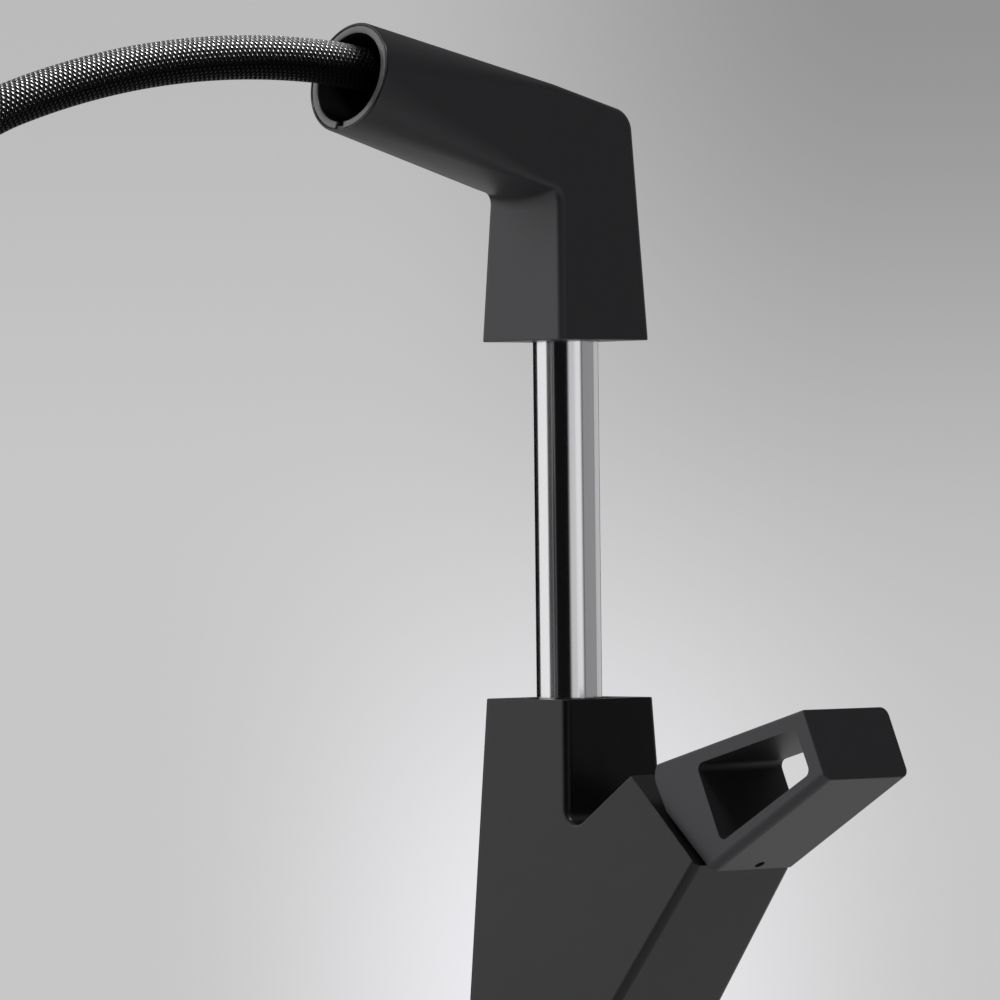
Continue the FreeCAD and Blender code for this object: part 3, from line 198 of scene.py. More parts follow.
class Graph:
    """A shader's node tree."""

    def __init__(self, tree: bpy.types.NodeTree) -> None:
        """Empties a tree and starts on it."""
        self.tree = tree
        tree.nodes.clear()

    def node(
        self,
        kind: str,
        settings: Optional[Dict[str, object]] = None,
        feeds: Optional[Dict[Union[int, str], Feed]] = None,
    ) -> Made:
        """Adds a node of any type.

        Args:
            kind: the node's type, without its ShaderNode prefix.
            settings: its settings, set first; stops gives a ramp's places and greys.
            feeds: values or wires for its sockets, by index or name.

        Returns:
            The node.
        """
        made = self.tree.nodes.new("ShaderNode" + kind)
        for name, value in (settings or {}).items():
            if name == "stops":
                self._stops(made, value)
            else:
                setattr(made, name, value)
        for name, value in (feeds or {}).items():
            self._feed(made.inputs[name], value)
        return Made(self, made)

    def _stops(self, made: bpy.types.Node, stops: Sequence[Tuple[float, float]]) -> None:
        """Sets a colour ramp's greys.

        Args:
            made: the ramp.
            stops: a place and a grey for each stop.
        """
        elements = made.color_ramp.elements
        while len(elements) > 1:
            elements.remove(elements[0])
        elements[0].position = stops[0][0]
        elements[0].color = (stops[0][1],) * 3 + (1.0,)
        for place, grey in stops[1:]:
            elements.new(place).color = (grey,) * 3 + (1.0,)

    def _feed(self, socket: bpy.types.NodeSocket, value: Feed) -> None:
        """Links a wire to a socket, or sets the socket's own value.

        Args:
            socket: the input.
            value: what it gets.
        """
        if isinstance(value, Wire):
            self.tree.links.new(value.socket, socket)
        elif isinstance(value, tuple) and socket.type == "RGBA":
            socket.default_value = value + (1.0,)
        else:
            socket.default_value = value

    def mix(self, share: Feed, first: Feed, second: Feed) -> Wire:
        """Mixes two colours.

        Args:
            share: 0 for the first colour and 1 for the second.
            first: a colour.
            second: a colour.

        Returns:
            The mixed colour.
        """
        made = self.node("Mix", {"data_type": "RGBA"}, {0: share, 6: first, 7: second})
        return made.wire(2)

    def dot(self, first: Wire, direction: Triple) -> Wire:
        """The length of a vector along a direction."""
        made = self.node("VectorMath", {"operation": "DOT_PRODUCT"}, {0: first, 1: direction})
        return made.wire("Value")

    def stretched(self, vector: Wire, scale: Triple) -> Wire:
        """A vector with each of its parts multiplied."""
        return self.node("VectorMath", {"operation": "MULTIPLY"}, {0: vector, 1: scale}).wire()

    def noise(self, vector: Wire, scale: float, detail: float = 3.0) -> Wire:
        """A soft noise around 0.5.

        Args:
            vector: where it is read.
            scale: features in a metre.
            detail: how many finer layers it has.

        Returns:
            The noise.
        """
        feeds = {"Vector": vector, "Scale": scale, "Detail": detail, "Roughness": NOISE_FINENESS}
        return self.node("TexNoise", None, feeds).wire()

    def place(self) -> Wire:
        """The point in the frame's axes, in metres."""
        return self.node("TexCoord").wire("Object")

    def parts(self, vector: Wire) -> Tuple[Wire, Wire, Wire]:
        """The three parts of a vector."""
        made = self.node("SeparateXYZ", None, {0: vector})
        return made.wire(0), made.wire(1), made.wire(2)

    def bump(self, height: Wire, depth: float) -> Wire:
        """Turns a height between 0 and 1 into a normal.

        Args:
            height: the relief.
            depth: the relief's depth in metres.

        Returns:
            The normal.
        """
        feeds = {"Height": height, "Distance": depth, "Strength": 1.0}
        return self.node("Bump", None, feeds).wire()


# Finishes


@dataclass(frozen=True)
class Finish:
    """A plain finish: a colour with cloudy variation, and a fine grain.

    Attributes:
        name: the material's name.
        colour: its linear base colour.
        roughness: its mean roughness.
        metallic: 1 for bare metal.
        coat: the weight of a clear coat.
        cloud: how much the colour varies, as a share.
        patch: how much the roughness varies.
        grain: the grain's features in a metre.
        grain_depth: the grain's depth in metres.
        bending: its index of refraction, which sets how much it mirrors.
        clearing: the noise levels between which a dark cloud turns light.
    """

    name: str
    colour: Colour
    roughness: float
    metallic: float = 0.0
    coat: float = 0.0
    cloud: float = 0.15
    patch: float = 0.06
    grain: float = 2500.0
    grain_depth: float = 0.00002
    bending: float = 1.5
    clearing: Span = (0.3, 0.7)

    def relief(self, graph: Graph, place: Wire) -> Wire:
        """The height of the surface, from 0 to 1.

        Args:
            graph: the material's graph.
            place: the point on the surface.

        Returns:
            The height.
        """
        return graph.noise(place, self.grain, detail=2.0)

    def tone(self, graph: Graph, place: Wire) -> Wire:
        """The colour over the surface.

        Args:
            graph: the material's graph.
            place: the point on the surface.

        Returns:
            The colour.
        """
        dark = tuple(c * (1.0 - self.cloud) for c in self.colour)
        light = tuple(min(1.0, c * (1.0 + self.cloud)) for c in self.colour)
        return graph.mix(graph.noise(place, CLOUDS).smooth(*self.clearing), dark, light)

    def gloss(self, graph: Graph, place: Wire) -> Wire:
        """The roughness over the surface.

        Args:
            graph: the material's graph.
            place: the point on the surface.

        Returns:
            The roughness.
        """
        return self.roughness + (graph.noise(place, PATCHES) - 0.5) * (2.0 * self.patch)

    def metal(self, graph: Graph, place: Wire) -> Feed:
        """How metallic the surface is."""
        return self.metallic

    def make(self) -> bpy.types.Material:
        """Makes the material, or finds it if it is made already.

        Returns:
            The material.
        """
        made = bpy.data.materials.get(self.name)
        if made is not None:
            return made
        made = bpy.data.materials.new(self.name)
        made.use_nodes = True
        graph = Graph(made.node_tree)
        place = graph.place()
        surface = graph.node(
            "BsdfPrincipled",
            None,
            {
                "Base Color": self.tone(graph, place),
                "Roughness": self.gloss(graph, place),
                "Metallic": self.metal(graph, place),
                "IOR": self.bending,
                "Coat Weight": self.coat,
                "Normal": graph.bump(self.relief(graph, place), self.grain_depth),
            },
        )
        graph.node("OutputMaterial", None, {"Surface": surface.wire()})
        return made


@dataclass(frozen=True)
class Casting(Finish):
    """The body's black coat, which stops at the deck: the shank below is bare and threaded.

    Attributes:
        bare: the colour of the bare shank.
        pitch: the thread's pitch in metres.
        deck: the height below which the shank is bare.
        cut: the thread's depth in metres.
    """

    bare: Colour = (0.55, 0.47, 0.30)
    pitch: float = 0.0015
    deck: float = -0.0004
    cut: float = 0.0005

    def _shank(self, graph: Graph, place: Wire) -> Wire:
        """1 on the shank and 0 on the coated body."""
        return 1.0 - graph.parts(place)[2].above(self.deck)

    def tone(self, graph: Graph, place: Wire) -> Wire:
        """Black coat above the deck and bare brass below."""
        return graph.mix(self._shank(graph, place), super().tone(graph, place), self.bare)

    def metal(self, graph: Graph, place: Wire) -> Feed:
        """Only the shank is bare metal."""
        return self._shank(graph, place)

    def relief(self, graph: Graph, place: Wire) -> Wire:
        """The coat's grain above the deck and the thread below.

        Args:
            graph: the material's graph.
            place: the point on the surface.

        Returns:
            The height.
        """
        x, y, z = graph.parts(place)
        turn = y.angle_to(x) / (2.0 * math.pi)
        thread = abs((z / self.pitch + turn).fraction() - 0.5) * 2.0
        shank = self._shank(graph, place)
        grain = graph.noise(place, self.grain, detail=2.0)
        return grain * (1.0 - shank) + thread * shank * (self.cut / self.grain_depth)


class Lay(Enum):
    """Which way the fine tool marks of a metal piece run."""

    TURNED = (1.0, 1.0, 40.0)
    FACED = (30.0, 1.0, 1.0)


@dataclass(frozen=True)
class Worked(Finish):
    """Bare metal with fine tool marks.

    Attributes:
        lay: which way the marks run.
        marks: marks in a metre across them.
        layers: how many finer layers the marks have.
    """

    lay: Lay = Lay.TURNED
    marks: float = 120.0
    layers: float = 6.0

    def relief(self, graph: Graph, place: Wire) -> Wire:
        """Long fine scratches."""
        return graph.noise(graph.stretched(place, self.lay.value), self.marks, detail=self.layers)


@dataclass(frozen=True)
class Chrome(Finish):
    """Mirror chrome with faint rub marks and a trace of haze.

    Attributes:
        waves: the surface's waves in a metre.
        wave_lay: how the waves are stretched.
        wipes: the duller wipes in a metre.
        wipe_lay: how the wipes are stretched.
        wiped: the noise levels between which a wipe comes in.
    """

    waves: float = 60.0
    wave_lay: Triple = (1.0, 1.0, 0.2)
    wipes: float = 120.0
    wipe_lay: Triple = (3.0, 3.0, 0.4)
    wiped: Span = (0.62, 0.8)

    def relief(self, graph: Graph, place: Wire) -> Wire:
        """A very gentle waviness."""
        return graph.noise(graph.stretched(place, self.wave_lay), self.waves, detail=1.0)

    def gloss(self, graph: Graph, place: Wire) -> Wire:
        """Almost a mirror, with a few duller wipes."""
        wipes = graph.noise(graph.stretched(place, self.wipe_lay), self.wipes, detail=5.0)
        return self.roughness + wipes.smooth(*self.wiped) * self.patch


@dataclass(frozen=True)
class Braid(Finish):
    """Glossy woven nylon whose strands cross in diamonds, read from a tube's own map.

    Attributes:
        around: pairs of strands around the hose.
        along: crossings in a metre of hose.
        filaments: the single filaments' features in a metre.
        filament: the filaments' height, as a share of the weave's.
        painted_gap_shade: painted shade between the strands: the colour there, as a share of the
            strands' own.
        gap_shade_heights: the weave's heights between which the painted shade turns to the
            strands' colour.
        gap: the weave's heights between which the gaps turn dull.
        dull: the roughness of the gaps.
    """

    around: float = 15.0
    along: float = 503.0
    filaments: float = 9000.0
    filament: float = 0.1
    # Painted shade: the gaps between the strands are darkened to stand in for the shade that
    # falls there.
    painted_gap_shade: float = 0.25
    gap_shade_heights: Span = (0.1, 0.6)
    gap: Span = (0.5, 0.15)
    dull: float = 0.95

    def _weave(self, graph: Graph) -> Wire:
        """The height of the weave: a small dome wherever one strand crosses over another.

        Args:
            graph: the material's graph.

        Returns:
            The height.
        """
        u, v, _ = graph.parts(graph.node("UVMap", {"uv_map": "along"}).wire())
        across, on = u * self.around, v * self.along
        left = ((across + on) * math.pi).sine()
        right = ((across - on) * math.pi).sine()
        return left * left * right * right

    def relief(self, graph: Graph, place: Wire) -> Wire:
        """The weave, with single filaments on it."""
        return self._weave(graph) + graph.noise(place, self.filaments, detail=1.0) * self.filament

    def tone(self, graph: Graph, place: Wire) -> Wire:
        """Painted shade: darker between the strands, where the gaps lie in shade."""
        # Painted shade: the colour in the gaps is darkened as if shade fell there.
        painted_gap_shade = tuple(c * self.painted_gap_shade for c in self.colour)
        return graph.mix(self._weave(graph).smooth(*self.gap_shade_heights), painted_gap_shade, self.colour)

    def gloss(self, graph: Graph, place: Wire) -> Wire:
        """Glossy on the strands and dull in the gaps, where only their sides show."""
        gaps = self._weave(graph).smooth(*self.gap)
        return self.roughness + gaps * (self.dull - self.roughness)


@dataclass(frozen=True)
class Finishes:
    """Every finish of the faucet."""

    casting: Finish = Casting("black_casting", (0.004, 0.004, 0.0042), 0.31, grain=3200.0,
                              bending=1.4)
    coat: Finish = Finish("black_coat", (0.004, 0.004, 0.0042), 0.31, grain=3200.0,
                          bending=1.4)
    edge: Finish = Finish("burnished_edge", (0.006, 0.006, 0.0063), 0.2, grain=3200.0)
    chrome: Finish = Chrome("polished_chrome", (0.86, 0.86, 0.87), 0.035, 1.0,
                            patch=0.05, grain_depth=0.000004)
    braid: Finish = Braid("braided_nylon", (0.002, 0.002, 0.0023), 0.18, patch=0.03,
                          grain_depth=0.00045, bending=1.2)
    core: Finish = Finish("hose_core", (0.012, 0.012, 0.013), 0.5, grain=1200.0,
                          grain_depth=0.0002)
    seal: Finish = Finish("seal_rubber", (0.014, 0.014, 0.014), 0.6, patch=0.1)
    pad: Finish = Finish("clamp_rubber", (0.03, 0.03, 0.03), 0.75, patch=0.1,
                         grain_depth=0.00005)
    zinc: Finish = Worked("zinc_steel", (0.58, 0.59, 0.62), 0.34, 1.0, lay=Lay.FACED)
    spring: Finish = Worked("spring_steel", (0.30, 0.30, 0.32), 0.3, 1.0, lay=Lay.TURNED)
    stainless: Finish = Worked("stainless", (0.58, 0.58, 0.57), 0.28, 1.0, lay=Lay.TURNED)
    brass: Finish = Worked("machined_brass", (0.72, 0.53, 0.24), 0.3, 1.0, lay=Lay.TURNED)
    trim: Finish = Finish("black_trim", (0.006, 0.006, 0.0065), 0.36, grain=3600.0)
    # Painted shade: the cartridge nut's brass is coloured near black so that the lever's gap,
    # where the nut shows, stays as dark as shade makes it.
    black_brass: Finish = Worked("brass_with_painted_shade", (0.03, 0.028, 0.025), 0.45, 1.0)
    acetal: Finish = Finish("acetal", (0.72, 0.71, 0.66), 0.4, cloud=0.04)
    dock: Finish = Finish("dock_plastic", (0.012, 0.012, 0.013), 0.45, grain=1800.0)
    liner: Finish = Finish("liner_plastic", (0.10, 0.10, 0.105), 0.26, grain=1800.0)
    clear_plastic: Finish = Finish("cartridge_plastic", (0.70, 0.70, 0.72), 0.25, coat=0.3,
                                   cloud=0.04)
    ceramic: Finish = Finish("disc_ceramic", (0.80, 0.77, 0.70), 0.16, coat=0.5, cloud=0.05,
                             grain=900.0, grain_depth=0.00001)
    shell: Finish = Finish("spray_black", (0.0055, 0.0055, 0.006), 0.38, grain=3000.0)
    core_grey: Finish = Finish("core_grey", (0.13, 0.135, 0.15), 0.45)
    face: Finish = Finish("face_grey", (0.05, 0.05, 0.055), 0.38, grain=1500.0,
                          grain_depth=0.00006)
    soft: Finish = Finish("soft_nozzle", (0.08, 0.08, 0.09), 0.55)


FINISHES = Finishes()

NODE_FINISHES: Dict[str, Finish] = {
    "mixer_body": FINISHES.casting,
    "spout_elbow": FINISHES.coat,
    "lever": FINISHES.coat,
    "stem_tube": FINISHES.chrome,
    "hose_inner": FINISHES.core,
    "hose": FINISHES.core,
    "base_seal": FINISHES.seal,
    "brake_ring": FINISHES.seal,
    "wiper_ring": FINISHES.seal,
    "port_seals": FINISHES.seal,
    "hose_washer": FINISHES.seal,
    "clamp_rubber_washer": FINISHES.pad,
    "clamp_steel_washer": FINISHES.zinc,
    "stem_circlips": FINISHES.spring,
    "button_spring": FINISHES.spring,
    "spout_screw": FINISHES.stainless,
    "lever_screw": FINISHES.stainless,
    "pivot_pin": FINISHES.stainless,
    "fixing_nut": FINISHES.brass,
    # Painted shade: the nut seen through the lever's gap is coloured dark.
    "cartridge_nut": FINISHES.black_brass,
    "spindle": FINISHES.brass,
    "gland_ring": FINISHES.trim,
    "hose_nut": FINISHES.trim,
    "guide_bush": FINISHES.acetal,
    "slide_collar": FINISHES.acetal,
    "swivel_bush": FINISHES.acetal,
    "dock_ring": FINISHES.dock,
    "cartridge_housing": FINISHES.clear_plastic,
    "cartridge_rotor": FINISHES.clear_plastic,
    "fixed_disc": FINISHES.ceramic,
    "moving_disc": FINISHES.ceramic,
    "spray_shell": FINISHES.shell,
    "diverter_button": FINISHES.shell,
    "spray_core": FINISHES.core_grey,
    "check_valve": FINISHES.core_grey,
    "spray_face": FINISHES.face,
    "aerator": FINISHES.face,
    "spray_nozzles": FINISHES.soft,
}


# The studio


@dataclass
class Camera:
    """The camera, level and long, a little right of the spout's line.

    Attributes:
        distance: from the column's axis.
        azimuth: its place around the column, in degrees from the spout's side.
        height: above the deck.
        yaw: how far it looks past the axis, in degrees.
        pitch: how far it looks up, in degrees.
        roll: how far it is turned on its own axis, in degrees.
        lens: its focal length in millimetres.
        sensor: its sensor's width in millimetres.
        clip: the nearest and the farthest that it sees.
    """

    distance: float = 2.6053
    azimuth: float = 47.223
    height: float = 0.21505
    yaw: float = 0.494
    pitch: float = 0.073
    roll: float = -0.647
    lens: float = 280.53
    sensor: float = 36.0
    clip: Span = (0.05, 60.0)

    def right(self) -> Vector:
        """The level direction to the camera's right."""
        turn = math.radians(self.azimuth + self.yaw)
        return Vector((math.cos(turn), math.sin(turn), 0.0))

    def back(self) -> Vector:
        """The level direction from the object to the camera."""
        turn = math.radians(self.azimuth + self.yaw)
        return Vector((math.sin(turn), -math.cos(turn), 0.0))

    def build(self) -> bpy.types.Object:
        """Makes the camera and sets it as the scene's.

        Returns:
            The camera.
        """
        data = bpy.data.cameras.new("camera")
        data.lens = self.lens
        data.sensor_width = self.sensor
        data.clip_start, data.clip_end = self.clip
        camera = bpy.data.objects.new("camera", data)
        bpy.context.scene.collection.objects.link(camera)
        place = math.radians(self.azimuth)
        pitch, roll = math.radians(self.pitch), math.radians(self.roll)
        ahead = -self.back() * math.cos(pitch) + Vector((0, 0, math.sin(pitch)))
        side = self.right()
        up = side.cross(ahead)
        across = side * math.cos(roll) + up * math.sin(roll)
        upward = up * math.cos(roll) - side * math.sin(roll)
        camera.matrix_world = Matrix((
            (across.x, upward.x, -ahead.x, self.distance * math.sin(place)),
            (across.y, upward.y, -ahead.y, -self.distance * math.cos(place)),
            (across.z, upward.z, -ahead.z, self.height),
            (0.0, 0.0, 0.0, 1.0),
        ))
        bpy.context.scene.camera = camera
        return camera


@dataclass(frozen=True)
class Card:
    """An upright reflector around the set.

    Attributes:
        centre: its bearing from the camera's side of the set, in degrees to the right.
        half: half its width in degrees.
        level: how bright it is.
        soft: how wide its edge is, in degrees.
    """

    centre: float
    half: float
    level: float
    soft: float = 4.0


def reflectors(bearing: Wire, cards: Sequence[Card], least: float) -> Feed:
    """The brightness of upright reflectors set around the object.

    Args:
        bearing: the bearing looked in, in degrees.
        cards: the reflectors.
        least: the level between them.

    Returns:
        The brightness.
    """
    level: Feed = least
    for card in cards:
        outer, inner = card.half + card.soft / 2, card.half - card.soft / 2
        level = abs(bearing - card.centre).smooth(outer, inner) * card.level + level
    return level


@dataclass(frozen=True)
class Backdrop:
    """The pale backdrop, lightest low down and darkest at the top right.

    Places are a ray's parts to the camera's right and upwards. Levels are greys as a screen
    shows them.

    Attributes:
        grey: the plain level.
        glow: how much lighter the glow low down is.
        glow_centre: the glow's place across.
        glow_width: the distances from its centre between which the glow comes in.
        glow_rise: the rises between which the glow comes in.
        glow_tint: the glow's tint.
        corner: how much darker the corner at the top right is.
        corner_across: the places across between which the corner darkens.
        corner_rise: the rises between which the corner darkens.
        top: how much darker the top is.
        top_rise: the rises between which the top darkens.
        gamma: the power that turns a grey into light.
    """

    grey: float = 0.776
    glow: float = 0.165
    glow_centre: float = 0.008
    glow_width: Span = (0.055, 0.0)
    glow_rise: Span = (0.02, -0.065)
    glow_tint: Colour = (0.995, 0.985, 1.03)
    corner: float = 0.168
    corner_across: Span = (-0.02, 0.05)
    corner_rise: Span = (-0.045, 0.085)
    top: float = 0.047
    top_rise: Span = (-0.005, 0.065)
    gamma: float = 2.2

    def colour(self, graph: Graph, across: Wire, rise: Wire) -> Wire:
        """The backdrop's colour.

        Args:
            graph: the world's graph.
            across: the ray's part to the camera's right.
            rise: the ray's part upwards.

        Returns:
            The colour.
        """
        glow = abs(across - self.glow_centre).smooth(*self.glow_width)
        glow = glow * rise.smooth(*self.glow_rise)
        corner = across.smooth(*self.corner_across) * rise.smooth(*self.corner_rise)
        top = rise.smooth(*self.top_rise)
        grey = self.grey + glow * self.glow - corner * self.corner - top * self.top
        tint = graph.mix(glow, (1.0, 1.0, 1.0), self.glow_tint)
        feeds = {0: tint, "Scale": grey ** self.gamma}
        return graph.node("VectorMath", {"operation": "SCALE"}, feeds).wire()


@dataclass(frozen=True)
class Floor:
    """The pale round floor, which fades out towards its rim.

    Attributes:
        radius: its radius.
        sides: the sides of its outline.
        below: how far it lies below the object.
        fade: the radii between which it fades out.
        paint: the two colours that its paint varies between.
        clouds: the paint's clouds in a metre.
        glow: the colour that the camera sees mixed in.
        glow_share: how much of that colour the camera sees.
        near: the radii between which glossy faces see a plain level instead of the cards.
        level: that plain level.
    """

    radius: float = 1.5
    sides: int = 128
    below: float = 0.0005
    fade: Span = (0.45, 1.47)
    paint: Tuple[Colour, Colour] = ((0.56, 0.56, 0.565), (0.6, 0.6, 0.605))
    clouds: float = 30.0
    glow: Colour = (0.555, 0.555, 0.56)
    glow_share: float = 0.45
    near: Span = (0.5, 0.3)
    level: float = 0.62

    def _shade(self, camera: Camera, cards: Sequence[Card], gloom: float) -> bpy.types.Material:
        """Makes the floor's material.

        Args:
            camera: the camera the cards are set out from.
            cards: the reflectors at the object's own height.
            gloom: the level between the cards.

        Returns:
            The material.
        """
        made = bpy.data.materials.new("floor")
        made.use_nodes = True
        graph = Graph(made.node_tree)
        x, y, _ = graph.parts(graph.place())
        radius = (x * x + y * y).root()
        paint = graph.mix(graph.noise(graph.place(), self.clouds), *self.paint)
        matt = graph.node("BsdfDiffuse", None, {"Color": paint})
        glow = graph.node("Emission", None, {"Color": self.glow})
        right, back = camera.right(), camera.back()
        bearing = (x * right.x + y * right.y).angle_to(x * back.x + y * back.y)
        ring = reflectors(bearing * math.degrees(1.0), cards, gloom)
        near = radius.smooth(*self.near)
        mirrored = graph.node("Emission", None, {
            "Color": ring * (1.0 - near) + near * self.level})
        path = graph.node("LightPath")
        lit = graph.node("MixShader", None, {
            0: path.wire("Is Camera Ray") * self.glow_share, 1: matt.wire(), 2: glow.wire()})
        lit = graph.node("MixShader", None, {
            0: path.wire("Is Glossy Ray"), 1: lit.wire(), 2: mirrored.wire()})
        clear = graph.node("BsdfTransparent")
        surface = graph.node("MixShader", None, {
            0: radius.smooth(*self.fade), 1: lit.wire(), 2: clear.wire()})
        graph.node("OutputMaterial", None, {"Surface": surface.wire()})
        return made

    def build(self, low: float, camera: Camera, cards: Sequence[Card], gloom: float) -> None:
        """Lays the floor.

        Args:
            low: the height of the object's lowest point.
            camera: the camera the cards are set out from.
            cards: the reflectors at the object's own height.
            gloom: the level between the cards.
        """
        mesh = bmesh.new()
        bmesh.ops.create_circle(mesh, cap_ends=True, radius=self.radius, segments=self.sides)
        data = bpy.data.meshes.new("floor")
        mesh.to_mesh(data)
        mesh.free()
        floor = bpy.data.objects.new("floor", data)
        floor.location.z = low - self.below
        bpy.context.scene.collection.objects.link(floor)
        floor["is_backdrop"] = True
        data.materials.append(self._shade(camera, cards, gloom))


@dataclass(frozen=True)
class Lamp:
    """A soft round lamp that points at the faucet.

    Attributes:
        name: its name.
        bearing: its bearing from the camera's side, in degrees to the right.
        rise: its elevation in degrees.
        size: its width.
        power: its power in watts.
        mirrored: whether glossy faces show it.
        aim: the point it looks at.
        reach: how far from that point it hangs.
    """

    name: str
    bearing: float
    rise: float
    size: float
    power: float
    mirrored: bool = False
    aim: Triple = (0.0, -0.08, 0.18)
    reach: float = 2.0

    def hang(self, camera: Camera) -> bpy.types.Object:
        """Hangs the lamp.

        Args:
            camera: the camera its bearing is set out from.

        Returns:
            The lamp.
        """
        data = bpy.data.lights.new(self.name, "AREA")
        data.shape = "DISK"
        data.size = self.size
        data.energy = self.power
        lamp = bpy.data.objects.new(self.name, data)
        turn, up = math.radians(self.bearing), math.radians(self.rise)
        level = camera.back() * math.cos(turn) + camera.right() * math.sin(turn)
        away = level * math.cos(up) + Vector((0, 0, math.sin(up)))
        lamp.location = Vector(self.aim) + away * self.reach
        lamp.rotation_mode = "QUATERNION"
        lamp.rotation_quaternion = (-away).to_track_quat("-Z", "Y")
        lamp.visible_glossy = self.mirrored
        bpy.context.scene.collection.objects.link(lamp)
        return lamp


@dataclass
class Studio:
    """The lamps, the floor and the surroundings.

    Attributes:
        camera: the camera the cards are set out from.
        cards: the reflectors at the object's own height.
        boxes: the soft boxes above and below them.
        gloom: the level between the cards.
        shade: the level between the soft boxes.
        ceiling: the level overhead.
        band: the rises between which the soft boxes give way to the cards.
        overhead: the rises between which the ceiling comes in.
        under: the rises between which the cards come back below.
        backdrop: what the camera sees behind the object.
        floor: the floor.
        lamps: the lamps that light everything.
        rim_lamp: the lamp that glances off the hose's strands.
    """

    camera: Camera
    cards: Sequence[Card] = (
        Card(-96.0, 24.0, 0.9, 6.0),
        Card(-49.0, 6.0, 0.17, 6.0),
        Card(30.5, 22.5, 0.68, 12.0),
        Card(43.0, 12.0, 0.22, 12.0),
        Card(85.0, 26.0, 0.31),
        Card(135.0, 22.0, 0.54, 8.0),
        Card(180.0, 14.0, 0.65),
        Card(-180.0, 14.0, 0.65),
    )
    boxes: Sequence[Card] = (
        Card(-95.0, 38.0, 1.35, 20.0),
        Card(35.0, 25.0, 0.08, 20.0),
        Card(150.0, 40.0, 0.15, 20.0),
    )
    gloom: float = 0.004
    shade: float = 0.02
    ceiling: float = 0.25
    band: Span = (0.08, 0.045)
    overhead: Span = (0.55, 0.8)
    under: Span = (-0.12, -0.2)
    backdrop: Backdrop = Backdrop()
    floor: Floor = Floor()
    lamps: Sequence[Lamp] = (
        Lamp("key", -80.0, 35.0, 1.2, 14.0),
        Lamp("top", -8.0, 68.0, 0.5, 9.0, mirrored=True),
        Lamp("fill", 60.0, 35.0, 1.5, 5.0),
    )
    rim_lamp: Lamp = Lamp("rim", 143.0, 51.0, 1.45, 380.0, mirrored=True)

    def _surroundings(self, across: Wire, toward: Wire, rise: Wire) -> Wire:
        """The brightness that lights the object and shows in its glossy faces.

        Args:
            across: the ray's part to the camera's right.
            toward: the ray's level part towards the camera.
            rise: the ray's part upwards.

        Returns:
            The brightness.
        """
        bearing = across.angle_to(toward) * math.degrees(1.0)
        cards = reflectors(bearing, self.cards, self.gloom)
        middle = abs(rise).smooth(*self.band)
        level = reflectors(bearing, self.boxes, self.shade) * (1.0 - middle) + cards * middle
        high = rise.smooth(*self.overhead)
        level = level * (1.0 - high) + high * self.ceiling
        low = rise.smooth(*self.under)
        return level * (1.0 - low) + cards * low

    def _world(self) -> None:
        """Sets up the world: the backdrop for the camera and the surroundings for the rest."""
        world = bpy.data.worlds.new("studio")
        bpy.context.scene.world = world
        world.use_nodes = True
        graph = Graph(world.node_tree)
        ray = graph.node("TexCoord").wire("Generated")
        across = graph.dot(ray, tuple(self.camera.right()))
        toward = graph.dot(ray, tuple(self.camera.back()))
        rise = graph.parts(ray)[2]
        path = graph.node("LightPath")
        seen = path.wire("Is Camera Ray").at_least(path.wire("Is Transmission Ray"))
        backdrop = graph.node("Background", None, {
            0: self.backdrop.colour(graph, across, rise)})
        around = graph.node("Background", None, {
            0: (1.0, 1.0, 1.0), 1: self._surroundings(across, toward, rise)})
        chosen = graph.node("MixShader", None, {0: seen, 1: around.wire(), 2: backdrop.wire()})
        graph.node("OutputWorld", None, {0: chosen.wire()})

    def build(self, low: float) -> None:
        """Makes the whole studio but for the rim lamp.

        Args:
            low: the height of the object's lowest point.
        """
        self._world()
        self.floor.build(low, self.camera, self.cards, self.gloom)
        for lamp in self.lamps:
            lamp.hang(self.camera)

    def rim(self, hose: bpy.types.Object) -> None:
        """Hangs the rim lamp, which lights the hose and nothing else.

        Args:
            hose: the hose.
        """
        lamp = self.rim_lamp.hang(self.camera)
        lit = bpy.data.collections.new("rim_lit")
        lit.objects.link(hose)
        lamp.light_linking.receiver_collection = lit


# The faucet


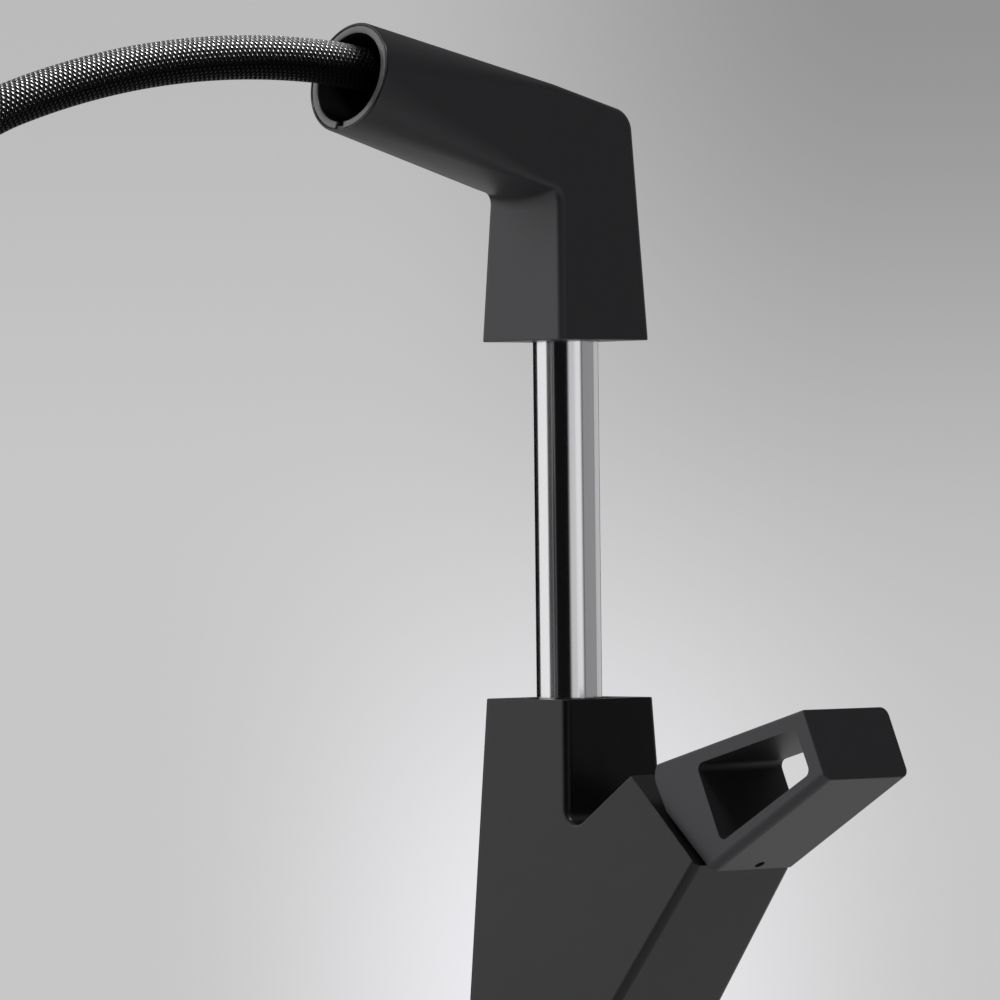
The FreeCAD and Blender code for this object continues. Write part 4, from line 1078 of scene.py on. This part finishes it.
@dataclass
class Hose:
    """The free braided hose, from inside the spout's mouth to the spray's nut.

    Attributes:
        route: the points its line is drawn to, as (y, z) in millimetres.
        diameter: over the braid.
        length: its real length; not used.
        facets: faces around it.
        step: the spacing of its rings.
        fineness: steps that the smooth line is read in between two points of the route.
    """

    route: Sequence[Tuple[float, float]] = (
        (-70.0, 355.9), (-92.0, 360.65), (-124.0, 362.4), (-156.0, 361.2), (-188.0, 357.0),
        (-220.0, 349.5), (-250.0, 339.4), (-275.2, 321.2), (-292.0, 297.4), (-300.0, 269.6),
        (-300.0, 246.0),
    )
    diameter: float = 0.0143
    length: float = 0.295
    facets: int = 72
    step: float = 0.0012
    fineness: int = 40

    def line(self) -> List[Vector]:
        """Reads evenly spaced points of the smooth line that the route draws.

        Returns:
            The points, in metres.
        """
        curve = bpy.data.curves.new("hose_line", "CURVE")
        curve.dimensions = "3D"
        spline = curve.splines.new("NURBS")
        spline.points.add(len(self.route) - 1)
        for point, (y, z) in zip(spline.points, self.route):
            point.co = (0.0, y * MM, z * MM, 1.0)
        spline.order_u = 3
        spline.use_endpoint_u = True
        spline.resolution_u = self.fineness
        drawn = bpy.data.objects.new("hose_line", curve)
        bpy.context.scene.collection.objects.link(drawn)
        bpy.context.view_layer.update()
        mesh = bpy.data.meshes.new_from_object(drawn)
        points = [v.co.copy() for v in mesh.vertices]
        bpy.data.objects.remove(drawn)
        bpy.data.meshes.remove(mesh)
        bpy.data.curves.remove(curve)
        return self._even(points)

    def _even(self, points: Sequence[Vector]) -> List[Vector]:
        """Spaces points evenly along the line through them.

        Args:
            points: the points of the line.

        Returns:
            Points one step apart, with the line's two ends among them.
        """
        runs = [(b - a).length for a, b in zip(points, points[1:])]
        count = round(sum(runs) / self.step)
        gap = sum(runs) / count
        even, passed, index = [points[0].copy()], 0.0, 0
        for i in range(1, count):
            while passed + runs[index] < i * gap:
                passed += runs[index]
                index += 1
            share = (i * gap - passed) / runs[index]
            even.append(points[index].lerp(points[index + 1], share))
        return even + [points[-1].copy()]

    def _rings(self, mesh: bmesh.types.BMesh, points: Sequence[Vector]) -> List[list]:
        """Sets rings of corners across the line.

        Args:
            mesh: the mesh they go into.
            points: the points of the line.

        Returns:
            The corners of each ring.
        """
        side = Vector((1, 0, 0))
        turns = [2 * math.pi * k / self.facets for k in range(self.facets)]
        rings = []
        for i, point in enumerate(points):
            ahead = points[min(i + 1, len(points) - 1)] - points[max(i - 1, 0)]
            up = side.cross(ahead.normalized())
            rings.append([
                mesh.verts.new(point + (side * math.cos(t) + up * math.sin(t)) * (
                    self.diameter / 2))
                for t in turns
            ])
        return rings

    def _tube(self, points: Sequence[Vector]) -> bpy.types.Mesh:
        """Makes the closed tube, with a map of the turn around it and the metres along it.

        Args:
            points: the points of its line.

        Returns:
            The mesh.
        """
        mesh = bmesh.new()
        rings = self._rings(mesh, points)
        lengths = [0.0]
        for a, b in zip(points, points[1:]):
            lengths.append(lengths[-1] + (b - a).length)
        layer = mesh.loops.layers.uv.new("along")
        for i in range(len(rings) - 1):
            for k in range(self.facets):
                after = (k + 1) % self.facets
                corners = (rings[i][k], rings[i][after], rings[i + 1][after], rings[i + 1][k])
                face = mesh.faces.new(corners)
                face.smooth = True
                places = ((k, i), (k + 1, i), (k + 1, i + 1), (k, i + 1))
                for loop, (a, b) in zip(face.loops, places):
                    loop[layer].uv = (a / self.facets, lengths[b])
        mesh.faces.new(rings[0][::-1])
        mesh.faces.new(rings[-1])
        mesh.normal_update()
        bmesh.ops.recalc_face_normals(mesh, faces=mesh.faces)
        data = bpy.data.meshes.new("braided_hose")
        mesh.to_mesh(data)
        mesh.free()
        return data

    def build(self) -> bpy.types.Object:
        """Returns:
            The hose.
        """
        points = self.line()
        hose = bpy.data.objects.new("braided_hose", self._tube(points))
        bpy.context.scene.collection.objects.link(hose)
        hose.data.materials.append(FINISHES.braid.make())
        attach(hose, "spout")
        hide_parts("hose")
        return hose


@dataclass
class Mouth:
    """The round edge of the arm's mouth and the liner that stands in it.

    Attributes:
        radius: the arm's outer radius.
        tilt: the arm's slope above level, in degrees.
        edge: the width of the rounded edge.
        bore: the liner's inner radius.
        proud: how far the liner stands out.
        key: half the keyway's width.
        gap: between the edge and the liner.
        chamfer: on the liner's inner edge.
        facets: faces around each ring.
        bead_steps: steps over the edge's round top.
        curve_steps: steps round the liner's outer corner.
    """

    radius: float = 0.0185
    tilt: float = 14.4
    edge: float = 0.0009
    bore: float = 0.0151
    proud: float = 0.0004
    key: float = 0.0016
    gap: float = 0.0001
    chamfer: float = 0.0002
    facets: int = 144
    bead_steps: int = 12
    curve_steps: int = 8

    def _arc(self, centre: float, radius: float, turn: float, steps: int) -> List[Span]:
        """Draws an arc over the mouth's plane, from the outside inwards.

        Args:
            centre: its centre, as a radius from the arm's axis.
            radius: its own radius.
            turn: the angle that it turns, in radians.
            steps: the straight pieces it has.

        Returns:
            Its points, as (radius, height over the mouth).
        """
        turns = [turn * k / steps for k in range(steps + 1)]
        return [(centre + radius * math.cos(t), radius * math.sin(t)) for t in turns]

    def _ring(self, name: str, outline: Sequence[Span], opening: float,
              finish: Finish) -> bpy.types.Object:
        """Turns an outline round the arm's axis.

        Args:
            name: the ring's name.
            outline: its closed outline, as (radius, height over the mouth).
            opening: half the angle left open at the bottom, in radians, or 0.
            finish: its finish.

        Returns:
            The ring.
        """
        low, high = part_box("spout_elbow")
        tilt = math.radians(self.tilt)
        ahead = Vector((0.0, -math.cos(tilt), math.sin(tilt)))
        up = Vector((0.0, math.sin(tilt), math.cos(tilt)))
        centre = Vector((0.0, low[1] + self.radius * up.y, high[2] - self.radius * up.z))
        mesh = bmesh.new()
        rings = []
        steps = self.facets + (1 if opening else 0)
        for i in range(steps):
            turn = opening + (2 * math.pi - 2 * opening) * i / self.facets - math.pi / 2
            outward = Vector((1, 0, 0)) * math.cos(turn) + up * math.sin(turn)
            rings.append([mesh.verts.new(centre + outward * r + ahead * h) for r, h in outline])
        count = len(outline)
        for i in range(self.facets):
            this, after = rings[i], rings[(i + 1) % steps]
            for k in range(count):
                corners = (this[k], this[(k + 1) % count], after[(k + 1) % count], after[k])
                mesh.faces.new(corners).smooth = True
        if opening:
            mesh.faces.new(rings[0])
            mesh.faces.new(rings[-1][::-1])
        bmesh.ops.recalc_face_normals(mesh, faces=mesh.faces)
        data = bpy.data.meshes.new(name)
        mesh.to_mesh(data)
        mesh.free()
        made = bpy.data.objects.new(name, data)
        bpy.context.scene.collection.objects.link(made)
        data.materials.append(finish.make())
        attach(made, "spout")
        return made

    def build(self) -> List[bpy.types.Object]:
        """Makes the edge and the liner.

        Returns:
            The two rings.
        """
        half, curve = self.edge / 2, self.proud
        bead = self._arc(self.radius - half, half, math.pi, self.bead_steps)
        bead += [(self.radius - self.edge, -half), (self.radius - half, -half)]
        outer = self.radius - self.edge - self.gap
        liner = self._arc(outer - curve, curve, math.pi / 2, self.curve_steps)
        liner += [(self.bore + self.chamfer, self.proud), (self.bore, self.proud - self.chamfer),
                  (self.bore, -self.proud), (outer, -self.proud)]
        return [
            self._ring("mouth_edge", bead, 0.0, FINISHES.edge),
            self._ring("mouth_liner", liner, self.key / self.bore, FINISHES.liner),
        ]


@dataclass
class Solids:
    """The rigid pieces, which keep their own shape and get their finishes.

    Attributes:
        finishes: the finish of each node.
    """

    finishes: Dict[str, Finish]

    def build(self) -> int:
        """Dresses every solid.

        Returns:
            How many solids were dressed.
        """
        for name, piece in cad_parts.items():
            material = self.finishes[name].make()
            for slot in piece.material_slots:
                slot.material = material
            if not piece.material_slots:
                piece.data.materials.append(material)
        return len(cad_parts)


def main() -> None:
    """Builds the studio and dresses the faucet."""
    logging.basicConfig(level=logging.INFO, format="%(name)s: %(message)s")
    bpy.context.scene.view_settings.view_transform = "Standard"
    low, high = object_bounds()
    camera = Camera()
    camera.build()
    LOG.info("camera")
    studio = Studio(camera)
    studio.build(low.z)
    LOG.info("studio")
    hose = Hose().build()
    studio.rim(hose)
    LOG.info("%s: %d faces", hose.name, len(hose.data.polygons))
    for ring in Mouth().build():
        LOG.info("%s: %d faces", ring.name, len(ring.data.polygons))
    LOG.info("solids dressed: %d", Solids(NODE_FINISHES).build())


if __name__ == "__main__":
    main()
